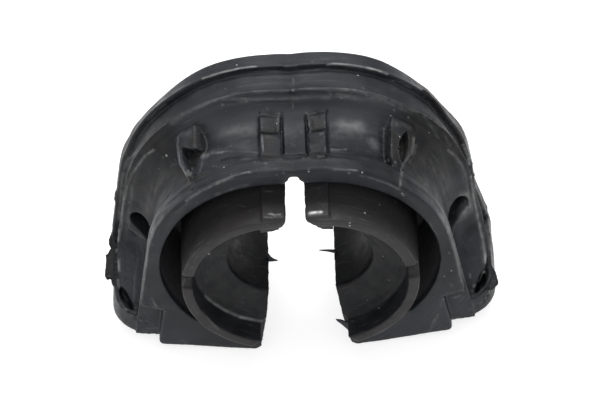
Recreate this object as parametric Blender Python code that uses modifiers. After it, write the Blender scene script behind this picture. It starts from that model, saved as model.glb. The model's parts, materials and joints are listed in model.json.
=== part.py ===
# Sway bar bushing: one moulded rubber piece, split below so that it can be opened over the bar.
# Each half is drawn closed, around the bore axis, then swung open about the thin bridge on top.
# In a half's own frame X points away from the split, Y runs along the bore from the collar's
# front edge to the back, and Z points up from the bore axis.

import bpy
import bmesh
from math import cos, sin, radians, sqrt

MM = 0.001

# Bore and collar
bar_bore_radius = 11.0 * MM
bore_back_chamfer = 0.6 * MM
collar_radius = 21.0 * MM
collar_wall = 2.4 * MM
counterbore_depth = 5.8 * MM
shoulder_dish = 2.2 * MM
shoulder_round = 0.8 * MM
collar_edge_round = 0.35 * MM
collar_notch_width = 2.6 * MM
collar_notch_depth = 1.3 * MM
collar_notch_drop = 0.6 * MM

# Thickened ends of the collar beside the split
end_pad_width = 5.0 * MM
end_pad_rise = 1.0 * MM
end_pad_inset = 1.1 * MM

# Front plate, and the void between it and the collar
plate_setback = 6.2 * MM
void_clearance = 4.6 * MM
void_depth = 22.0 * MM
void_start_angle = radians(95.0)
void_end_angle = radians(-50.0)
bridge_thickness = 4.2 * MM
side_wall = 2.8 * MM
plate_side_drop = 16.6 * MM
ledge_fall = 0.8 * MM
plate_edge_round = 0.4 * MM
plate_corner_round = 1.0 * MM

# Rim, groove, bead, band and back lip, from front to back
rim_length = 5.2 * MM
groove_depth = 1.3 * MM
groove_step = 0.3 * MM
groove_floor_length = 7.0 * MM
groove_sweep_length = 5.9 * MM
sweep_turn = radians(80.0)
bead_rise = 4.5 * MM
bead_side_rise = 5.1 * MM
bead_round = 0.9 * MM
bead_fall_length = 0.54 * MM
bead_fall_share = 0.3
band_length = 5.6 * MM
band_sink = 0.9 * MM
band_step = 0.18 * MM
lip_length = 4.2 * MM
lip_rise = 0.3 * MM
lip_side_rise = 0.3 * MM
lip_shoulder_taper = 1.2 * MM
lip_taper_start = 0.2
lip_edge_round = 0.6 * MM
shoulder_angle = radians(33.0)
shoulder_spread = radians(30.0)
shoulder_inset = 0.9 * MM

# Hook of the crest: low on the side it comes forward and sinks, and meets the flange by the rim
hook_height = 10.8 * MM
hook_rim_gap = 0.7 * MM
hook_sink = 4.0 * MM
hook_bend = 1.5
hook_sink_bend = 6.0
least_floor_share = 0.08

# Feet, and the base flange behind the plate
foot_wall = 3.1 * MM
foot_side_inset = 5.0 * MM
flange_setback = 2.9 * MM
flange_height = 5.4 * MM
flange_corner_round = 7.5 * MM

# Split and hinge
split_half_gap = 1.0 * MM
hinge_rise = 2.5 * MM
open_angle = radians(9.13)
split_foot_chamfer = 1.2 * MM
split_collar_chamfer = 3.0 * MM
split_collar_chamfer_rise = 3.6 * MM
bridge_notch_flare = 0.9 * MM
notch_end_turn = radians(72.0)

# Locating tabs and webs in the groove, and the pockets beside them
tab_inner = 2.6 * MM
tab_width = 4.7 * MM
tab_rise = 0.5 * MM
tab_foot_length = 5.1 * MM
tab_face_length = 6.6 * MM
tab_peak_rise = 1.5 * MM
tab_lead = 2.0 * MM
tab_slot_width = 0.6 * MM
tab_slot_depth = 1.4 * MM
web_angle = radians(42.0)
web_width = 5.6 * MM
web_rise = 1.3 * MM
web_back_rise = 2.1 * MM
web_nose_length = 5.6 * MM
web_side_start = 5.0 * MM
web_back_gap = 1.3 * MM
web_pocket_width = 2.0 * MM
web_pocket_length = 8.0 * MM
web_pocket_start = 1.6 * MM
web_pocket_depth = 4.2 * MM
side_pocket_drop = 8.0 * MM
side_pocket_out = 1.0 * MM
side_pocket_length = 8.0 * MM
side_pocket_width = 4.4 * MM
side_pocket_slant = radians(42.0)
side_pocket_start = 1.6 * MM
side_pocket_mouth = 6.6 * MM
side_pocket_depth = 11.6 * MM
side_pocket_taper = 0.7
low_pocket_wall = 1.0 * MM
low_pocket_width = 2.3 * MM
low_pocket_start = radians(-63.0)
low_pocket_end = radians(18.0)
low_pocket_sink = 3.3 * MM
low_pocket_height = 2.3 * MM
low_pocket_lean = 1.6 * MM

# Facets, the angle above which an edge stays crisp, and the overrun that takes a cutter past a face
arc_steps = 24
turn_steps = 72
sweep_steps = 5
hook_steps = 9
flange_corner_steps = 8
pocket_steps = 12
plate_corner_steps = 3
void_steps = 36
void_end_steps = 6
notch_end_steps = 4
sharp_angle = radians(30.0)
overrun = 2.0 * MM

# Sizes that follow from the ones above
collar_inner_radius = collar_radius - collar_wall
void_radius = collar_radius + void_clearance
plate_crown = void_radius + bridge_thickness
plate_side = void_radius + side_wall
foot_drop = void_radius + foot_wall
foot_half_width = plate_side - foot_side_inset
hinge_height = void_radius + hinge_rise
flange_top = flange_height - foot_drop
rim_back = plate_setback + rim_length
floor_back = rim_back + groove_step + groove_floor_length
sweep_back = floor_back + groove_sweep_length
bead_peak = sweep_back + bead_round
band_front = bead_peak + bead_round
lip_front = band_front + band_length
total_depth = lip_front + lip_length
flange_front = plate_setback + flange_setback
bead_side = plate_side + bead_side_rise
hook_reach = bead_peak - rim_back - hook_rim_gap
void_back = plate_setback + void_depth
foot_edge = split_half_gap + split_foot_chamfer
hinge_world = (hinge_height + foot_drop) * cos(open_angle) - foot_edge * sin(open_angle)


def clear_scene():
    for old in list(bpy.data.objects):
        bpy.data.objects.remove(old, do_unlink=True)


def new_collection(name):
    collection = bpy.data.collections.new(name)
    bpy.context.scene.collection.children.link(collection)
    return collection


def rubber(name):
    material = bpy.data.materials.new(name)
    material.use_nodes = True
    shader = material.node_tree.nodes["Principled BSDF"]
    shader.inputs["Base Color"].default_value = (0.028, 0.030, 0.034, 1.0)
    shader.inputs["Roughness"].default_value = 0.5
    shader.inputs["Metallic"].default_value = 0.0
    return material


def smooth(t):
    return t * t * (3.0 - 2.0 * t)


def arc(radius, start, end, steps, centre=(0.0, 0.0)):
    points = []
    for i in range(steps + 1):
        angle = start + (end - start) * i / steps
        points.append((centre[0] + radius * cos(angle), centre[1] + radius * sin(angle)))
    return points


def arch(crown, shoulder, side):
    # A quarter of an arch, from the middle plane down to the height of the bore axis.
    points = []
    for i in range(arc_steps + 1):
        angle = radians(90.0) * (1.0 - i / arc_steps)
        if angle > shoulder_angle:
            t = min(1.0, (angle - shoulder_angle) / shoulder_spread)
            radius = shoulder + (crown - shoulder) * smooth(t)
        else:
            t = (shoulder_angle - angle) / shoulder_angle
            radius = shoulder + (side - shoulder) * smooth(t)
        points.append((radius * cos(angle), radius * sin(angle)))
    return points


def soften(piece):
    # Last in the stack, so that it also sees the edges which the cuts made: smooth across the
    # small facets of the round faces, crisp wherever two faces meet at more than the sharp angle.
    group = bpy.data.node_groups.new("crisp above an angle", "GeometryNodeTree")
    group.interface.new_socket("Geometry", in_out="INPUT", socket_type="NodeSocketGeometry")
    group.interface.new_socket("Geometry", in_out="OUTPUT", socket_type="NodeSocketGeometry")
    start = group.nodes.new("NodeGroupInput")
    end = group.nodes.new("NodeGroupOutput")
    faces = group.nodes.new("GeometryNodeSetShadeSmooth")
    edges = group.nodes.new("GeometryNodeSetShadeSmooth")
    edges.domain = "EDGE"
    edges.inputs["Shade Smooth"].default_value = False
    angle = group.nodes.new("GeometryNodeInputMeshEdgeAngle")
    compare = group.nodes.new("FunctionNodeCompare")
    compare.operation = "GREATER_THAN"
    compare.inputs["B"].default_value = sharp_angle
    group.links.new(start.outputs["Geometry"], faces.inputs["Geometry"])
    group.links.new(faces.outputs["Geometry"], edges.inputs["Geometry"])
    group.links.new(angle.outputs["Unsigned Angle"], compare.inputs["A"])
    group.links.new(compare.outputs["Result"], edges.inputs["Selection"])
    group.links.new(edges.outputs["Geometry"], end.inputs["Geometry"])
    step = piece.modifiers.new("shading", "NODES")
    step.node_group = group


def finish_mesh(name, collection, work):
    mesh = bpy.data.meshes.new(name)
    bmesh.ops.recalc_face_normals(work, faces=work.faces[:])
    work.to_mesh(mesh)
    work.free()
    piece = bpy.data.objects.new(name, mesh)
    collection.objects.link(piece)
    return piece


def loft(name, collection, sections):
    # A skin through rings of points, one ring for each section, closed by a flat face at each end.
    work = bmesh.new()
    rings = [[work.verts.new(point) for point in section] for section in sections]
    for front, back in zip(rings, rings[1:]):
        count = len(front)
        for i in range(count):
            j = (i + 1) % count
            work.faces.new((front[i], front[j], back[j], back[i]))
    work.faces.new(rings[0])
    work.faces.new(rings[-1])
    return finish_mesh(name, collection, work)


def along_bore(outline, depth):
    return [(x, depth, z) for x, z in outline]


def turned(name, collection, profile):
    # A profile of radius and depth, swept round the bore axis; it runs from back to front,
    # which turns its faces outwards.
    mesh = bpy.data.meshes.new(name)
    edges = [(i, i + 1) for i in range(len(profile) - 1)]
    mesh.from_pydata([(radius, depth, 0.0) for radius, depth in reversed(profile)], edges, [])
    piece = bpy.data.objects.new(name, mesh)
    collection.objects.link(piece)
    screw = piece.modifiers.new("turn", "SCREW")
    screw.axis = "Y"
    screw.steps = turn_steps
    screw.render_steps = turn_steps
    screw.use_merge_vertices = True
    screw.merge_threshold = 0.01 * MM
    return piece


def groove_block(name, collection, angle, centre_shift, width, profile):
    # A block whose section is a profile of depth and radius, standing on the arch at an angle.
    half = 0.5 * width
    sides = []
    for offset in (centre_shift - half, centre_shift + half):
        sides.append([(offset, depth, radius) for depth, radius in profile])
    piece = loft(name, collection, sides)
    piece.rotation_euler = (0.0, radians(90.0) - angle, 0.0)
    return piece


def place(piece, frame):
    # Puts a piece that is drawn around the bore axis into the frame of the opened half.
    piece.parent = frame
    piece.location.z -= hinge_height


def combine(target, tool, frame, operation):
    place(tool, frame)
    tool.hide_render = True
    tool.display_type = "WIRE"
    step = target.modifiers.new(operation.lower() + " " + tool.name, "BOOLEAN")
    step.operation = operation
    step.solver = "EXACT"
    step.object = tool


def plate_outline(inset):
    # The front plate: an arch with short sides, and below them a narrower foot.
    points = arch(plate_crown - inset, plate_crown - shoulder_inset - inset, plate_side - inset)
    ledge = -plate_side_drop + inset
    corner = plate_corner_round
    side = plate_side - inset
    foot = foot_half_width - inset
    points += arc(corner, 0.0, radians(-90.0), plate_corner_steps, (side - corner, ledge + corner))
    points.append((foot, ledge - ledge_fall))
    points += arc(corner, 0.0, radians(-90.0), plate_corner_steps, (foot - corner, -foot_drop + corner))
    points += [(-overrun, -foot_drop), (-overrun, plate_crown - inset)]
    return points


def hooked(depth, side_rise, share):
    # Where a level of the body lies at a share of the hook's height, measured downwards.
    if depth <= rim_back:
        return depth, side_rise
    pull = hook_reach * smooth(share ** hook_bend)
    sink = hook_sink * share ** hook_sink_bend
    floor_share = max(least_floor_share, 1.0 - pull / (floor_back - rim_back))
    new_floor = rim_back + (floor_back - rim_back) * floor_share
    new_crest = max(bead_peak - pull, new_floor + least_floor_share * bead_round)
    if depth <= floor_back:
        return rim_back + (depth - rim_back) * floor_share, side_rise
    if depth <= bead_peak:
        part = (depth - floor_back) / (bead_peak - floor_back)
        return new_floor + (new_crest - new_floor) * part, side_rise - sink * part
    if depth <= lip_front:
        part = (depth - bead_peak) / (lip_front - bead_peak)
        return new_crest + (lip_front - new_crest) * part, side_rise - sink * (1.0 - part)
    return depth, side_rise


def body_section(depth, rise, side_rise, shoulder_cut=0.0):
    # One section of the body behind the plate, which grows and shrinks from rim to lip.
    shoulder = plate_crown - shoulder_inset + 0.5 * (rise + side_rise) - shoulder_cut
    side = plate_side + side_rise
    points = along_bore(arch(plate_crown + rise, shoulder, side), depth)
    for i in range(hook_steps + 1):
        share = i / hook_steps
        new_depth, new_rise = hooked(depth, side_rise, share)
        points.append((plate_side + new_rise, new_depth, flange_top + hook_height * (1.0 - share)))
    points.append((min(side, plate_side), depth, -foot_drop))
    points += [(-1.5 * overrun, depth, -foot_drop), (-1.5 * overrun, depth, plate_crown + rise)]
    return points


def front_plate(collection):
    sections = [along_bore(plate_outline(plate_edge_round), plate_setback)]
    sections.append(along_bore(plate_outline(0.0), plate_setback + plate_edge_round))
    sections.append(along_bore(plate_outline(0.0), flange_front + overrun))
    return loft("front_plate", collection, sections)


def grooved_body(collection):
    sections = []

    def add(depth, rise, side_rise, shoulder_cut=0.0):
        sections.append(body_section(depth, rise, side_rise, shoulder_cut))

    add(flange_front, 0.0, 0.0)
    add(rim_back - groove_step, 0.0, 0.0)
    add(rim_back, -groove_step, -groove_step)
    add(rim_back + groove_step, -groove_depth, -groove_depth)
    for i in range(sweep_steps + 1):
        turn = sweep_turn * i / sweep_steps
        share = (1.0 - cos(turn)) / (1.0 - cos(sweep_turn))
        depth = floor_back + groove_sweep_length * sin(turn) / sin(sweep_turn)
        rise = -groove_depth + (bead_rise - bead_round + groove_depth) * share
        side_rise = -groove_depth + (bead_side_rise - bead_round + groove_depth) * share
        add(depth, rise, side_rise)
    bead_fall = bead_round * bead_fall_share
    add(bead_peak - bead_fall_length, bead_rise - bead_fall, bead_side_rise - bead_fall)
    add(bead_peak, bead_rise, bead_side_rise)
    add(bead_peak + bead_fall_length, bead_rise - bead_fall, bead_side_rise - bead_fall)
    add(band_front, bead_rise - band_sink, bead_side_rise - band_sink)
    add(lip_front - band_step, bead_rise - band_sink, bead_side_rise - band_sink)
    lip = bead_rise + lip_rise
    side_lip = bead_side_rise + lip_side_rise
    add(lip_front, lip - band_step, side_lip - band_step)
    add(lip_front + lip_edge_round, lip, side_lip, lip_taper_start * lip_shoulder_taper)
    add(total_depth - lip_edge_round, lip, side_lip, lip_shoulder_taper)
    add(total_depth, lip - lip_edge_round, side_lip - lip_edge_round, lip_shoulder_taper)
    return loft("grooved_body", collection, sections)


def base_flange(collection):
    # Seen from below: a straight front, a round corner and a side that runs to the back.
    corner = (bead_side - flange_corner_round, flange_front + flange_corner_round)
    outline = [(-2.0 * overrun, flange_front)]
    outline += arc(flange_corner_round, radians(-90.0), 0.0, flange_corner_steps, corner)
    outline.append((bead_side, total_depth - lip_edge_round))
    outline.append((-2.0 * overrun, total_depth - lip_edge_round))
    low = [(x, y, -foot_drop) for x, y in outline]
    high = [(x, y, flange_top) for x, y in outline]
    return loft("base_flange", collection, [low, high])


def collar_tube(collection):
    edge = collar_edge_round
    root = void_back + overrun
    profile = [(0.0, 0.0), (collar_radius - edge, 0.0), (collar_radius, edge)]
    profile += [(collar_radius, root), (0.0, root)]
    return turned("collar_tube", collection, profile)


def void_cutter(collection):
    # The hollow in the plate that leaves the crescent round the collar, round at its low end.
    outline = arc(void_radius, void_start_angle, void_end_angle, void_steps)
    middle = void_radius - 0.5 * void_clearance
    centre = (middle * cos(void_end_angle), middle * sin(void_end_angle))
    half_turn = radians(180.0)
    low_end = arc(0.5 * void_clearance, void_end_angle, void_end_angle - half_turn, void_end_steps, centre)
    outline += low_end[1:]
    outline.append((0.0, 0.0))
    front = along_bore(outline, plate_setback - overrun)
    return loft("void_cutter", collection, [front, along_bore(outline, void_back)])


def bore_cutter(collection):
    # Counterbore, dished shoulder with a rounded mouth, the bore itself and its back chamfer.
    edge = collar_edge_round
    mouth = counterbore_depth + shoulder_dish
    back_radius = bar_bore_radius + bore_back_chamfer
    profile = [(0.0, -overrun), (collar_inner_radius + edge, -overrun)]
    profile += [(collar_inner_radius + edge, 0.0), (collar_inner_radius, edge)]
    profile += [(collar_inner_radius, counterbore_depth), (bar_bore_radius + shoulder_round, mouth)]
    profile += [(bar_bore_radius, mouth + shoulder_round), (bar_bore_radius, total_depth - bore_back_chamfer)]
    profile += [(back_radius, total_depth), (back_radius, total_depth + overrun)]
    profile += [(0.0, total_depth + overrun)]
    return turned("bore_cutter", collection, profile)


def end_pad(collection):
    # The collar's thickened end beside the split, which stands a little back from its front edge.
    inner = collar_inner_radius - end_pad_inset
    outer = collar_radius + end_pad_rise
    right = split_half_gap + end_pad_width
    past = -0.5 * overrun
    outline = [(past, inner + end_pad_rise), (split_half_gap + end_pad_rise, inner)]
    outline += [(right, sqrt(inner ** 2 - right ** 2)), (right, sqrt(outer ** 2 - right ** 2)), (past, outer)]
    front = along_bore(outline, 0.5 * collar_edge_round)
    return loft("end_pad", collection, [front, along_bore(outline, void_back + overrun)])


def split_cutter(collection):
    # The slot between the halves: chamfered at the foot, flared and rounded under the bridge.
    gap = split_half_gap
    past = -collar_radius - overrun
    low = -foot_drop
    outline = [(past, low - overrun), (foot_edge + overrun, low - overrun), (gap, low + split_foot_chamfer)]
    outline += [(gap, void_radius - 2.0 * bridge_notch_flare)]
    outline += [(gap + bridge_notch_flare, void_radius - bridge_notch_flare)]
    outline += [(gap + bridge_notch_flare, void_radius), (gap, void_radius + 1.5 * bridge_notch_flare)]
    outline += arc(gap, 0.0, notch_end_turn, notch_end_steps, (0.0, hinge_height - gap))
    outline.append((past, hinge_height + overrun))
    front = along_bore(outline, -overrun)
    return loft("split_cutter", collection, [front, along_bore(outline, total_depth + overrun)])


def collar_chamfer_cutter(collection):
    # Takes the sharp lower end off the collar where the two halves part.
    top = -collar_radius + split_collar_chamfer_rise
    low = -collar_radius - overrun
    past = -2.0 * overrun
    outline = [(past, low), (split_half_gap + split_collar_chamfer + overrun, low)]
    outline += [(split_half_gap, top), (past, top)]
    front = along_bore(outline, -overrun)
    return loft("collar_chamfer_cutter", collection, [front, along_bore(outline, plate_setback)])


def block(name, collection, low, high):
    # A plain box between two corners.
    size = [high[i] - low[i] for i in range(3)]
    work = bmesh.new()
    bmesh.ops.create_cube(work, size=1.0)
    bmesh.ops.scale(work, vec=size, verts=work.verts)
    piece = finish_mesh(name, collection, work)
    piece.location = [0.5 * (high[i] + low[i]) for i in range(3)]
    return piece


def notch_cutter(collection):
    # The small step in the collar's front edge at the height of the bore axis.
    top = collar_notch_width * 0.5 - collar_notch_drop
    low = (bar_bore_radius + overrun, -overrun, top - collar_notch_width)
    high = (collar_radius + overrun, collar_notch_depth, top)
    return block("notch_cutter", collection, low, high)


def tab(collection):
    # A locating tab across the groove: low by the rim, then a steep face up to the bead.
    floor = plate_crown - groove_depth
    face_foot = rim_back + tab_foot_length
    tab_back = face_foot + tab_face_length
    low = floor - overrun
    profile = [(rim_back - tab_lead, low), (rim_back - tab_lead, plate_crown - tab_rise)]
    profile += [(rim_back + tab_lead, plate_crown), (face_foot, plate_crown)]
    profile += [(tab_back, plate_crown + tab_peak_rise), (tab_back, low)]
    middle = tab_inner + 0.5 * tab_width
    return groove_block("tab", collection, radians(90.0), middle, tab_width, profile)


def tab_slot(collection, name, offset):
    # A narrow slot that sets the tab off from the groove beside it.
    bottom = plate_crown - groove_depth - tab_slot_depth
    profile = [(rim_back + groove_step, bottom), (rim_back + groove_step, bead_side + overrun)]
    profile += [(sweep_back - bead_round, bead_side + overrun), (sweep_back - bead_round, bottom + tab_slot_depth)]
    profile += [(floor_back, bottom)]
    return groove_block(name, collection, radians(90.0), offset, tab_slot_width, profile)


def on_shoulder(name, collection, sections):
    # A skin through sections of across, depth and radius, standing on the arch at the web's angle.
    piece = loft(name, collection, sections)
    piece.rotation_euler = (0.0, radians(90.0) - web_angle, 0.0)
    return piece


def web(collection):
    # A stiffening web on the shoulder: a wedge with its nose on the rim and its back in the sweep.
    low_top = plate_crown - shoulder_inset
    low = low_top - groove_depth - overrun
    back = sweep_back - web_back_gap
    sections = []
    for side in (-1.0, 0.0, 1.0):
        front = rim_back - tab_lead if side == 0.0 else rim_back + web_side_start
        profile = [(front, low), (front, low_top), (front + web_nose_length, low_top + web_rise)]
        profile += [(back, low_top + web_back_rise), (back, low)]
        sections.append([(0.5 * web_width * side, depth, radius) for depth, radius in profile])
    return on_shoulder("web", collection, sections)


def web_pocket(collection):
    # Seen along the radius, the pocket is a leaf that is pointed at both ends.
    middle = rim_back + web_pocket_start + 0.5 * web_pocket_length
    leaf = []
    for i in range(pocket_steps):
        turn = radians(360.0) * i / pocket_steps
        leaf.append((0.5 * web_pocket_width * sin(turn), middle + 0.5 * web_pocket_length * cos(turn)))
    bottom = plate_crown - web_pocket_depth
    sections = [[(across, depth, radius) for across, depth in leaf] for radius in (bottom, bead_side + overrun)]
    return on_shoulder("web_pocket", collection, sections)


def side_pocket(collection):
    # A slanting pocket below the height of the bore axis, which runs back under the crest.
    middle = (plate_side + side_pocket_out, -side_pocket_drop)

    def ring(depth, scale, shift):
        points = []
        for i in range(pocket_steps):
            turn = radians(360.0) * i / pocket_steps
            long_way = 0.5 * side_pocket_length * scale * cos(turn) - shift
            short_way = 0.5 * side_pocket_width * scale * sin(turn)
            x = middle[0] + long_way * cos(side_pocket_slant) - short_way * sin(side_pocket_slant)
            z = middle[1] + long_way * sin(side_pocket_slant) + short_way * cos(side_pocket_slant)
            points.append((x, depth, z))
        return points

    front = floor_back - side_pocket_start
    shift = 0.5 * side_pocket_length * (1.0 - side_pocket_taper)
    sections = [ring(front, 1.0, 0.0), ring(front + side_pocket_mouth, 1.0, 0.0)]
    sections.append(ring(front + side_pocket_depth, side_pocket_taper, shift))
    return loft("side_pocket", collection, sections)


def low_pocket(collection):
    # The slot in the flange's top, outside the hook: it follows the flange's round corner.
    centre = (bead_side - flange_corner_round, flange_front + flange_corner_round)
    outer_radius = flange_corner_round - low_pocket_wall

    def ring(height, lean):
        outer = []
        inner = []
        for i in range(pocket_steps + 1):
            share = i / pocket_steps
            turn = low_pocket_start + (low_pocket_end - low_pocket_start) * share
            inner_radius = outer_radius - low_pocket_width * sin(radians(180.0) * share)
            for side, radius in ((outer, outer_radius), (inner, inner_radius)):
                side.append((centre[0] + radius * cos(turn) + lean, centre[1] + radius * sin(turn), height))
        return outer + inner[-2:0:-1]

    sections = [ring(flange_top - low_pocket_sink, 0.0), ring(flange_top, 0.0)]
    sections.append(ring(flange_top + low_pocket_height, low_pocket_lean))
    return loft("low_pocket", collection, sections)


def build():
    clear_scene()
    parts = new_collection("sway_bar_bushing")
    cutters = new_collection("cutters")
    centre = bpy.data.objects.new("centre", None)
    parts.objects.link(centre)
    half_frame = bpy.data.objects.new("opened_half", None)
    parts.objects.link(half_frame)
    half_frame.location = (0.0, -0.5 * total_depth, hinge_world)
    half_frame.rotation_euler = (0.0, -open_angle, 0.0)

    bushing = front_plate(parts)
    bushing.name = "bushing"
    bushing.data.name = "bushing"
    place(bushing, half_frame)
    bushing.data.materials.append(rubber("black_rubber"))

    add = [grooved_body(cutters), base_flange(cutters)]
    for tool in add:
        combine(bushing, tool, half_frame, "UNION")
    combine(bushing, void_cutter(cutters), half_frame, "DIFFERENCE")
    combine(bushing, collar_tube(cutters), half_frame, "UNION")
    combine(bushing, bore_cutter(cutters), half_frame, "DIFFERENCE")
    for tool in (end_pad(cutters), tab(cutters), web(cutters)):
        combine(bushing, tool, half_frame, "UNION")
    slots = [tab_slot(cutters, "tab_slot_inner", tab_inner - 0.5 * tab_slot_width)]
    slots.append(tab_slot(cutters, "tab_slot_outer", tab_inner + tab_width + 0.5 * tab_slot_width))
    pockets = [web_pocket(cutters), side_pocket(cutters), low_pocket(cutters)]
    ends = [notch_cutter(cutters), collar_chamfer_cutter(cutters), split_cutter(cutters)]
    for tool in slots + pockets + ends:
        combine(bushing, tool, half_frame, "DIFFERENCE")

    mirror = bushing.modifiers.new("second half", "MIRROR")
    mirror.mirror_object = centre
    mirror.use_axis[0] = True
    mirror.use_bisect_axis[0] = True
    mirror.bisect_threshold = 0.001 * MM
    mirror.merge_threshold = 0.01 * MM
    soften(bushing)


build()
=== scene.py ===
# %% [markdown]
# A sway bar bushing, opened out.
# The real piece is one rubber moulding: a collar that grips the bar, an arched body with a groove
# round its back, and a split at the foot so that it can be pulled open over the bar.
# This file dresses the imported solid. The solid comes in as a fixed frame, and everything below is
# drawn round it in the same coordinates: metres, X across, Y along the bore, Z up.

# %% Load the fixed frame
import json
from math import cos, pi, radians, sin, sqrt

import bmesh
import bpy
import numpy as np
from mathutils import Matrix, Vector

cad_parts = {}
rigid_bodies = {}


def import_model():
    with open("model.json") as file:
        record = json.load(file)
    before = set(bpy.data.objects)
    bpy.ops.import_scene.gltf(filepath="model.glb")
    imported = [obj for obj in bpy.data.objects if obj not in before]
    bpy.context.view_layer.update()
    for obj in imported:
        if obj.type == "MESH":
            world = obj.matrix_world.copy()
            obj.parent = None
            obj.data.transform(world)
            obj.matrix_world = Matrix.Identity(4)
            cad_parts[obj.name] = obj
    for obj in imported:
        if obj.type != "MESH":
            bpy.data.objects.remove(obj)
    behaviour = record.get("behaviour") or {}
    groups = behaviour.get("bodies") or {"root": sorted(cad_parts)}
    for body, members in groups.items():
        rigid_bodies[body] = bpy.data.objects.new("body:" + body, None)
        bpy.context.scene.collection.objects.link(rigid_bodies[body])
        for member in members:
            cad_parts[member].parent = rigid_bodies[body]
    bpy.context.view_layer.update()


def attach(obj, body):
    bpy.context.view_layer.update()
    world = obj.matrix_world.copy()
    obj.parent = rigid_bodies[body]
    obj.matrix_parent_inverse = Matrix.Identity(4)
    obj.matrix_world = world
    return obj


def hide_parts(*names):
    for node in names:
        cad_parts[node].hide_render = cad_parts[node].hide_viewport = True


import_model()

MM = 0.001

# %% [markdown]
# The sizes of the moulding.
# One half is drawn closed, round the bore axis, and is swung open afterwards about the thin bridge
# on top. In the half's own frame x points away from the split, y runs along the bore from the
# collar's front edge, and z points up from the bore axis. Working closed keeps every round thing
# round, and the swing is then one rotation.

# %% Sizes of the collar and the plate, in millimetres
bore_radius = 11.0
collar_radius = 21.0
collar_wall = 2.4
counterbore_depth = 5.8
shoulder_dish = 2.2
plate_setback = 6.2
void_radius = 25.6
void_clearance = 4.6
void_depth = 22.0
void_end = radians(-50.0)
plate_crown = 29.8
plate_side = 28.4
plate_ledge = -16.6
foot_base = -28.7
foot_half_width = 23.4
print("bore and collar, mm across:", 2.0 * bore_radius, 2.0 * collar_radius)

# %% Sizes of the grooved body, the split and the hinge, in millimetres
rim_back = 11.4
groove_floor_back = 18.9
sweep_back = 24.5
crest = 25.4
band_front = 26.6
lip_front = 32.0
total_depth = 36.2
flange_front = 9.1
flange_height = 5.4
flange_corner = 7.5
split_half_gap = 1.0
hinge_height = 28.1
open_angle = radians(9.13)
foot_edge = 2.2
hinge_world = (hinge_height - foot_base) * cos(open_angle) - foot_edge * sin(open_angle)
print("bridge above the floor, mm:", round(hinge_world, 2))

# %% [markdown]
# Outlines.
# The arch isn't a plain half circle. It is nearly round over the crown, drops a little at the
# shoulder and swells again at the side, as the real silhouette does. A function of the angle gives
# the radius, so that every level along the bore follows the same arch with its own rise.

# %% Arch and arc helpers
shoulder_angle = radians(33.0)
shoulder_spread = radians(30.0)
shoulder_inset = 0.9
arch_steps = 72


def ease(t):
    t = min(1.0, max(0.0, t))
    return t * t * (3.0 - 2.0 * t)


def arch(crown, shoulder, side, start=radians(90.0)):
    points = []
    for i in range(arch_steps + 1):
        angle = start * (1.0 - i / arch_steps)
        if angle > shoulder_angle:
            radius = shoulder + (crown - shoulder) * ease((angle - shoulder_angle) / shoulder_spread)
        else:
            radius = shoulder + (side - shoulder) * ease((shoulder_angle - angle) / shoulder_angle)
        points.append((radius * cos(angle), radius * sin(angle)))
    return points


def arc(radius, start, end, steps, centre=(0.0, 0.0)):
    turn = [start + (end - start) * i / steps for i in range(steps + 1)]
    return [(centre[0] + radius * cos(a), centre[1] + radius * sin(a)) for a in turn]


print("points on the arch:", len(arch(plate_crown, plate_crown - shoulder_inset, plate_side)))

# %% [markdown]
# Solids for the half.
# A loft skins a list of closed outlines, one for each level along the bore. A turned piece is a
# profile spun round the bore axis. Both could be modifiers, but the rough solids here are only
# raw material: they are joined and cut, and the fine skin is made from the result.

# %% A workshop for the rough solids, and how one is made from its points and faces
workshop = bpy.data.collections.new("workshop")
bpy.context.scene.collection.children.link(workshop)


def solid(name, points, faces):
    mesh = bpy.data.meshes.new(name)
    mesh.from_pydata([tuple(MM * value for value in point) for point in points], [], faces)
    work = bmesh.new()
    work.from_mesh(mesh)
    bmesh.ops.recalc_face_normals(work, faces=work.faces[:])
    work.to_mesh(mesh)
    work.free()
    piece = bpy.data.objects.new(name, mesh)
    workshop.objects.link(piece)
    return piece


print("workshop:", workshop.name)

# %% Loft: a skin over a row of closed outlines
def loft(name, sections):
    count = len(sections[0])
    points = [point for section in sections for point in section]
    faces = [tuple(range(count)), tuple(range(len(points) - count, len(points)))]
    for level in range(len(sections) - 1):
        for i in range(count):
            a = level * count + i
            b = level * count + (i + 1) % count
            faces.append((a, b, b + count, a + count))
    return solid(name, points, faces)


def extrude(name, outline, front, back):
    return loft(name, [[(x, front, z) for x, z in outline], [(x, back, z) for x, z in outline]])


# %% Turned solid: a profile of radius and depth, spun round the bore axis
def turned(name, profile, steps=160):
    # The profile starts and ends on the axis; those two points are poles.
    ring = profile[1:-1]
    points = [(0.0, profile[0][1], 0.0), (0.0, profile[-1][1], 0.0)]
    for radius, depth in ring:
        for i in range(steps):
            angle = 2.0 * pi * i / steps
            points.append((radius * cos(angle), depth, radius * sin(angle)))
    faces = []
    for i in range(steps):
        j = (i + 1) % steps
        faces.append((0, 2 + i, 2 + j))
        last = 2 + (len(ring) - 1) * steps
        faces.append((1, last + j, last + i))
        for level in range(len(ring) - 1):
            low = 2 + level * steps
            faces.append((low + i, low + steps + i, low + steps + j, low + j))
    return solid(name, points, faces)


# %% [markdown]
# The front plate and the grooved body.
# The plate is flat, with a ledge on each side where its foot gets narrower. Behind it the body is
# one loft: a rim, a groove with a hollow sweep, a crest, a band and the lip at the back. Low on the
# side the crest turns forward and closes the groove, like the hook of a J. That is made by pulling
# the levels forward there, and it keeps the sweep unbroken.

# %% Front plate, with a rounded front edge
# Each half is drawn a little past the middle plane, and is cut there once it has been swung open.
past = -4.0
corner = 1.0


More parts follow.
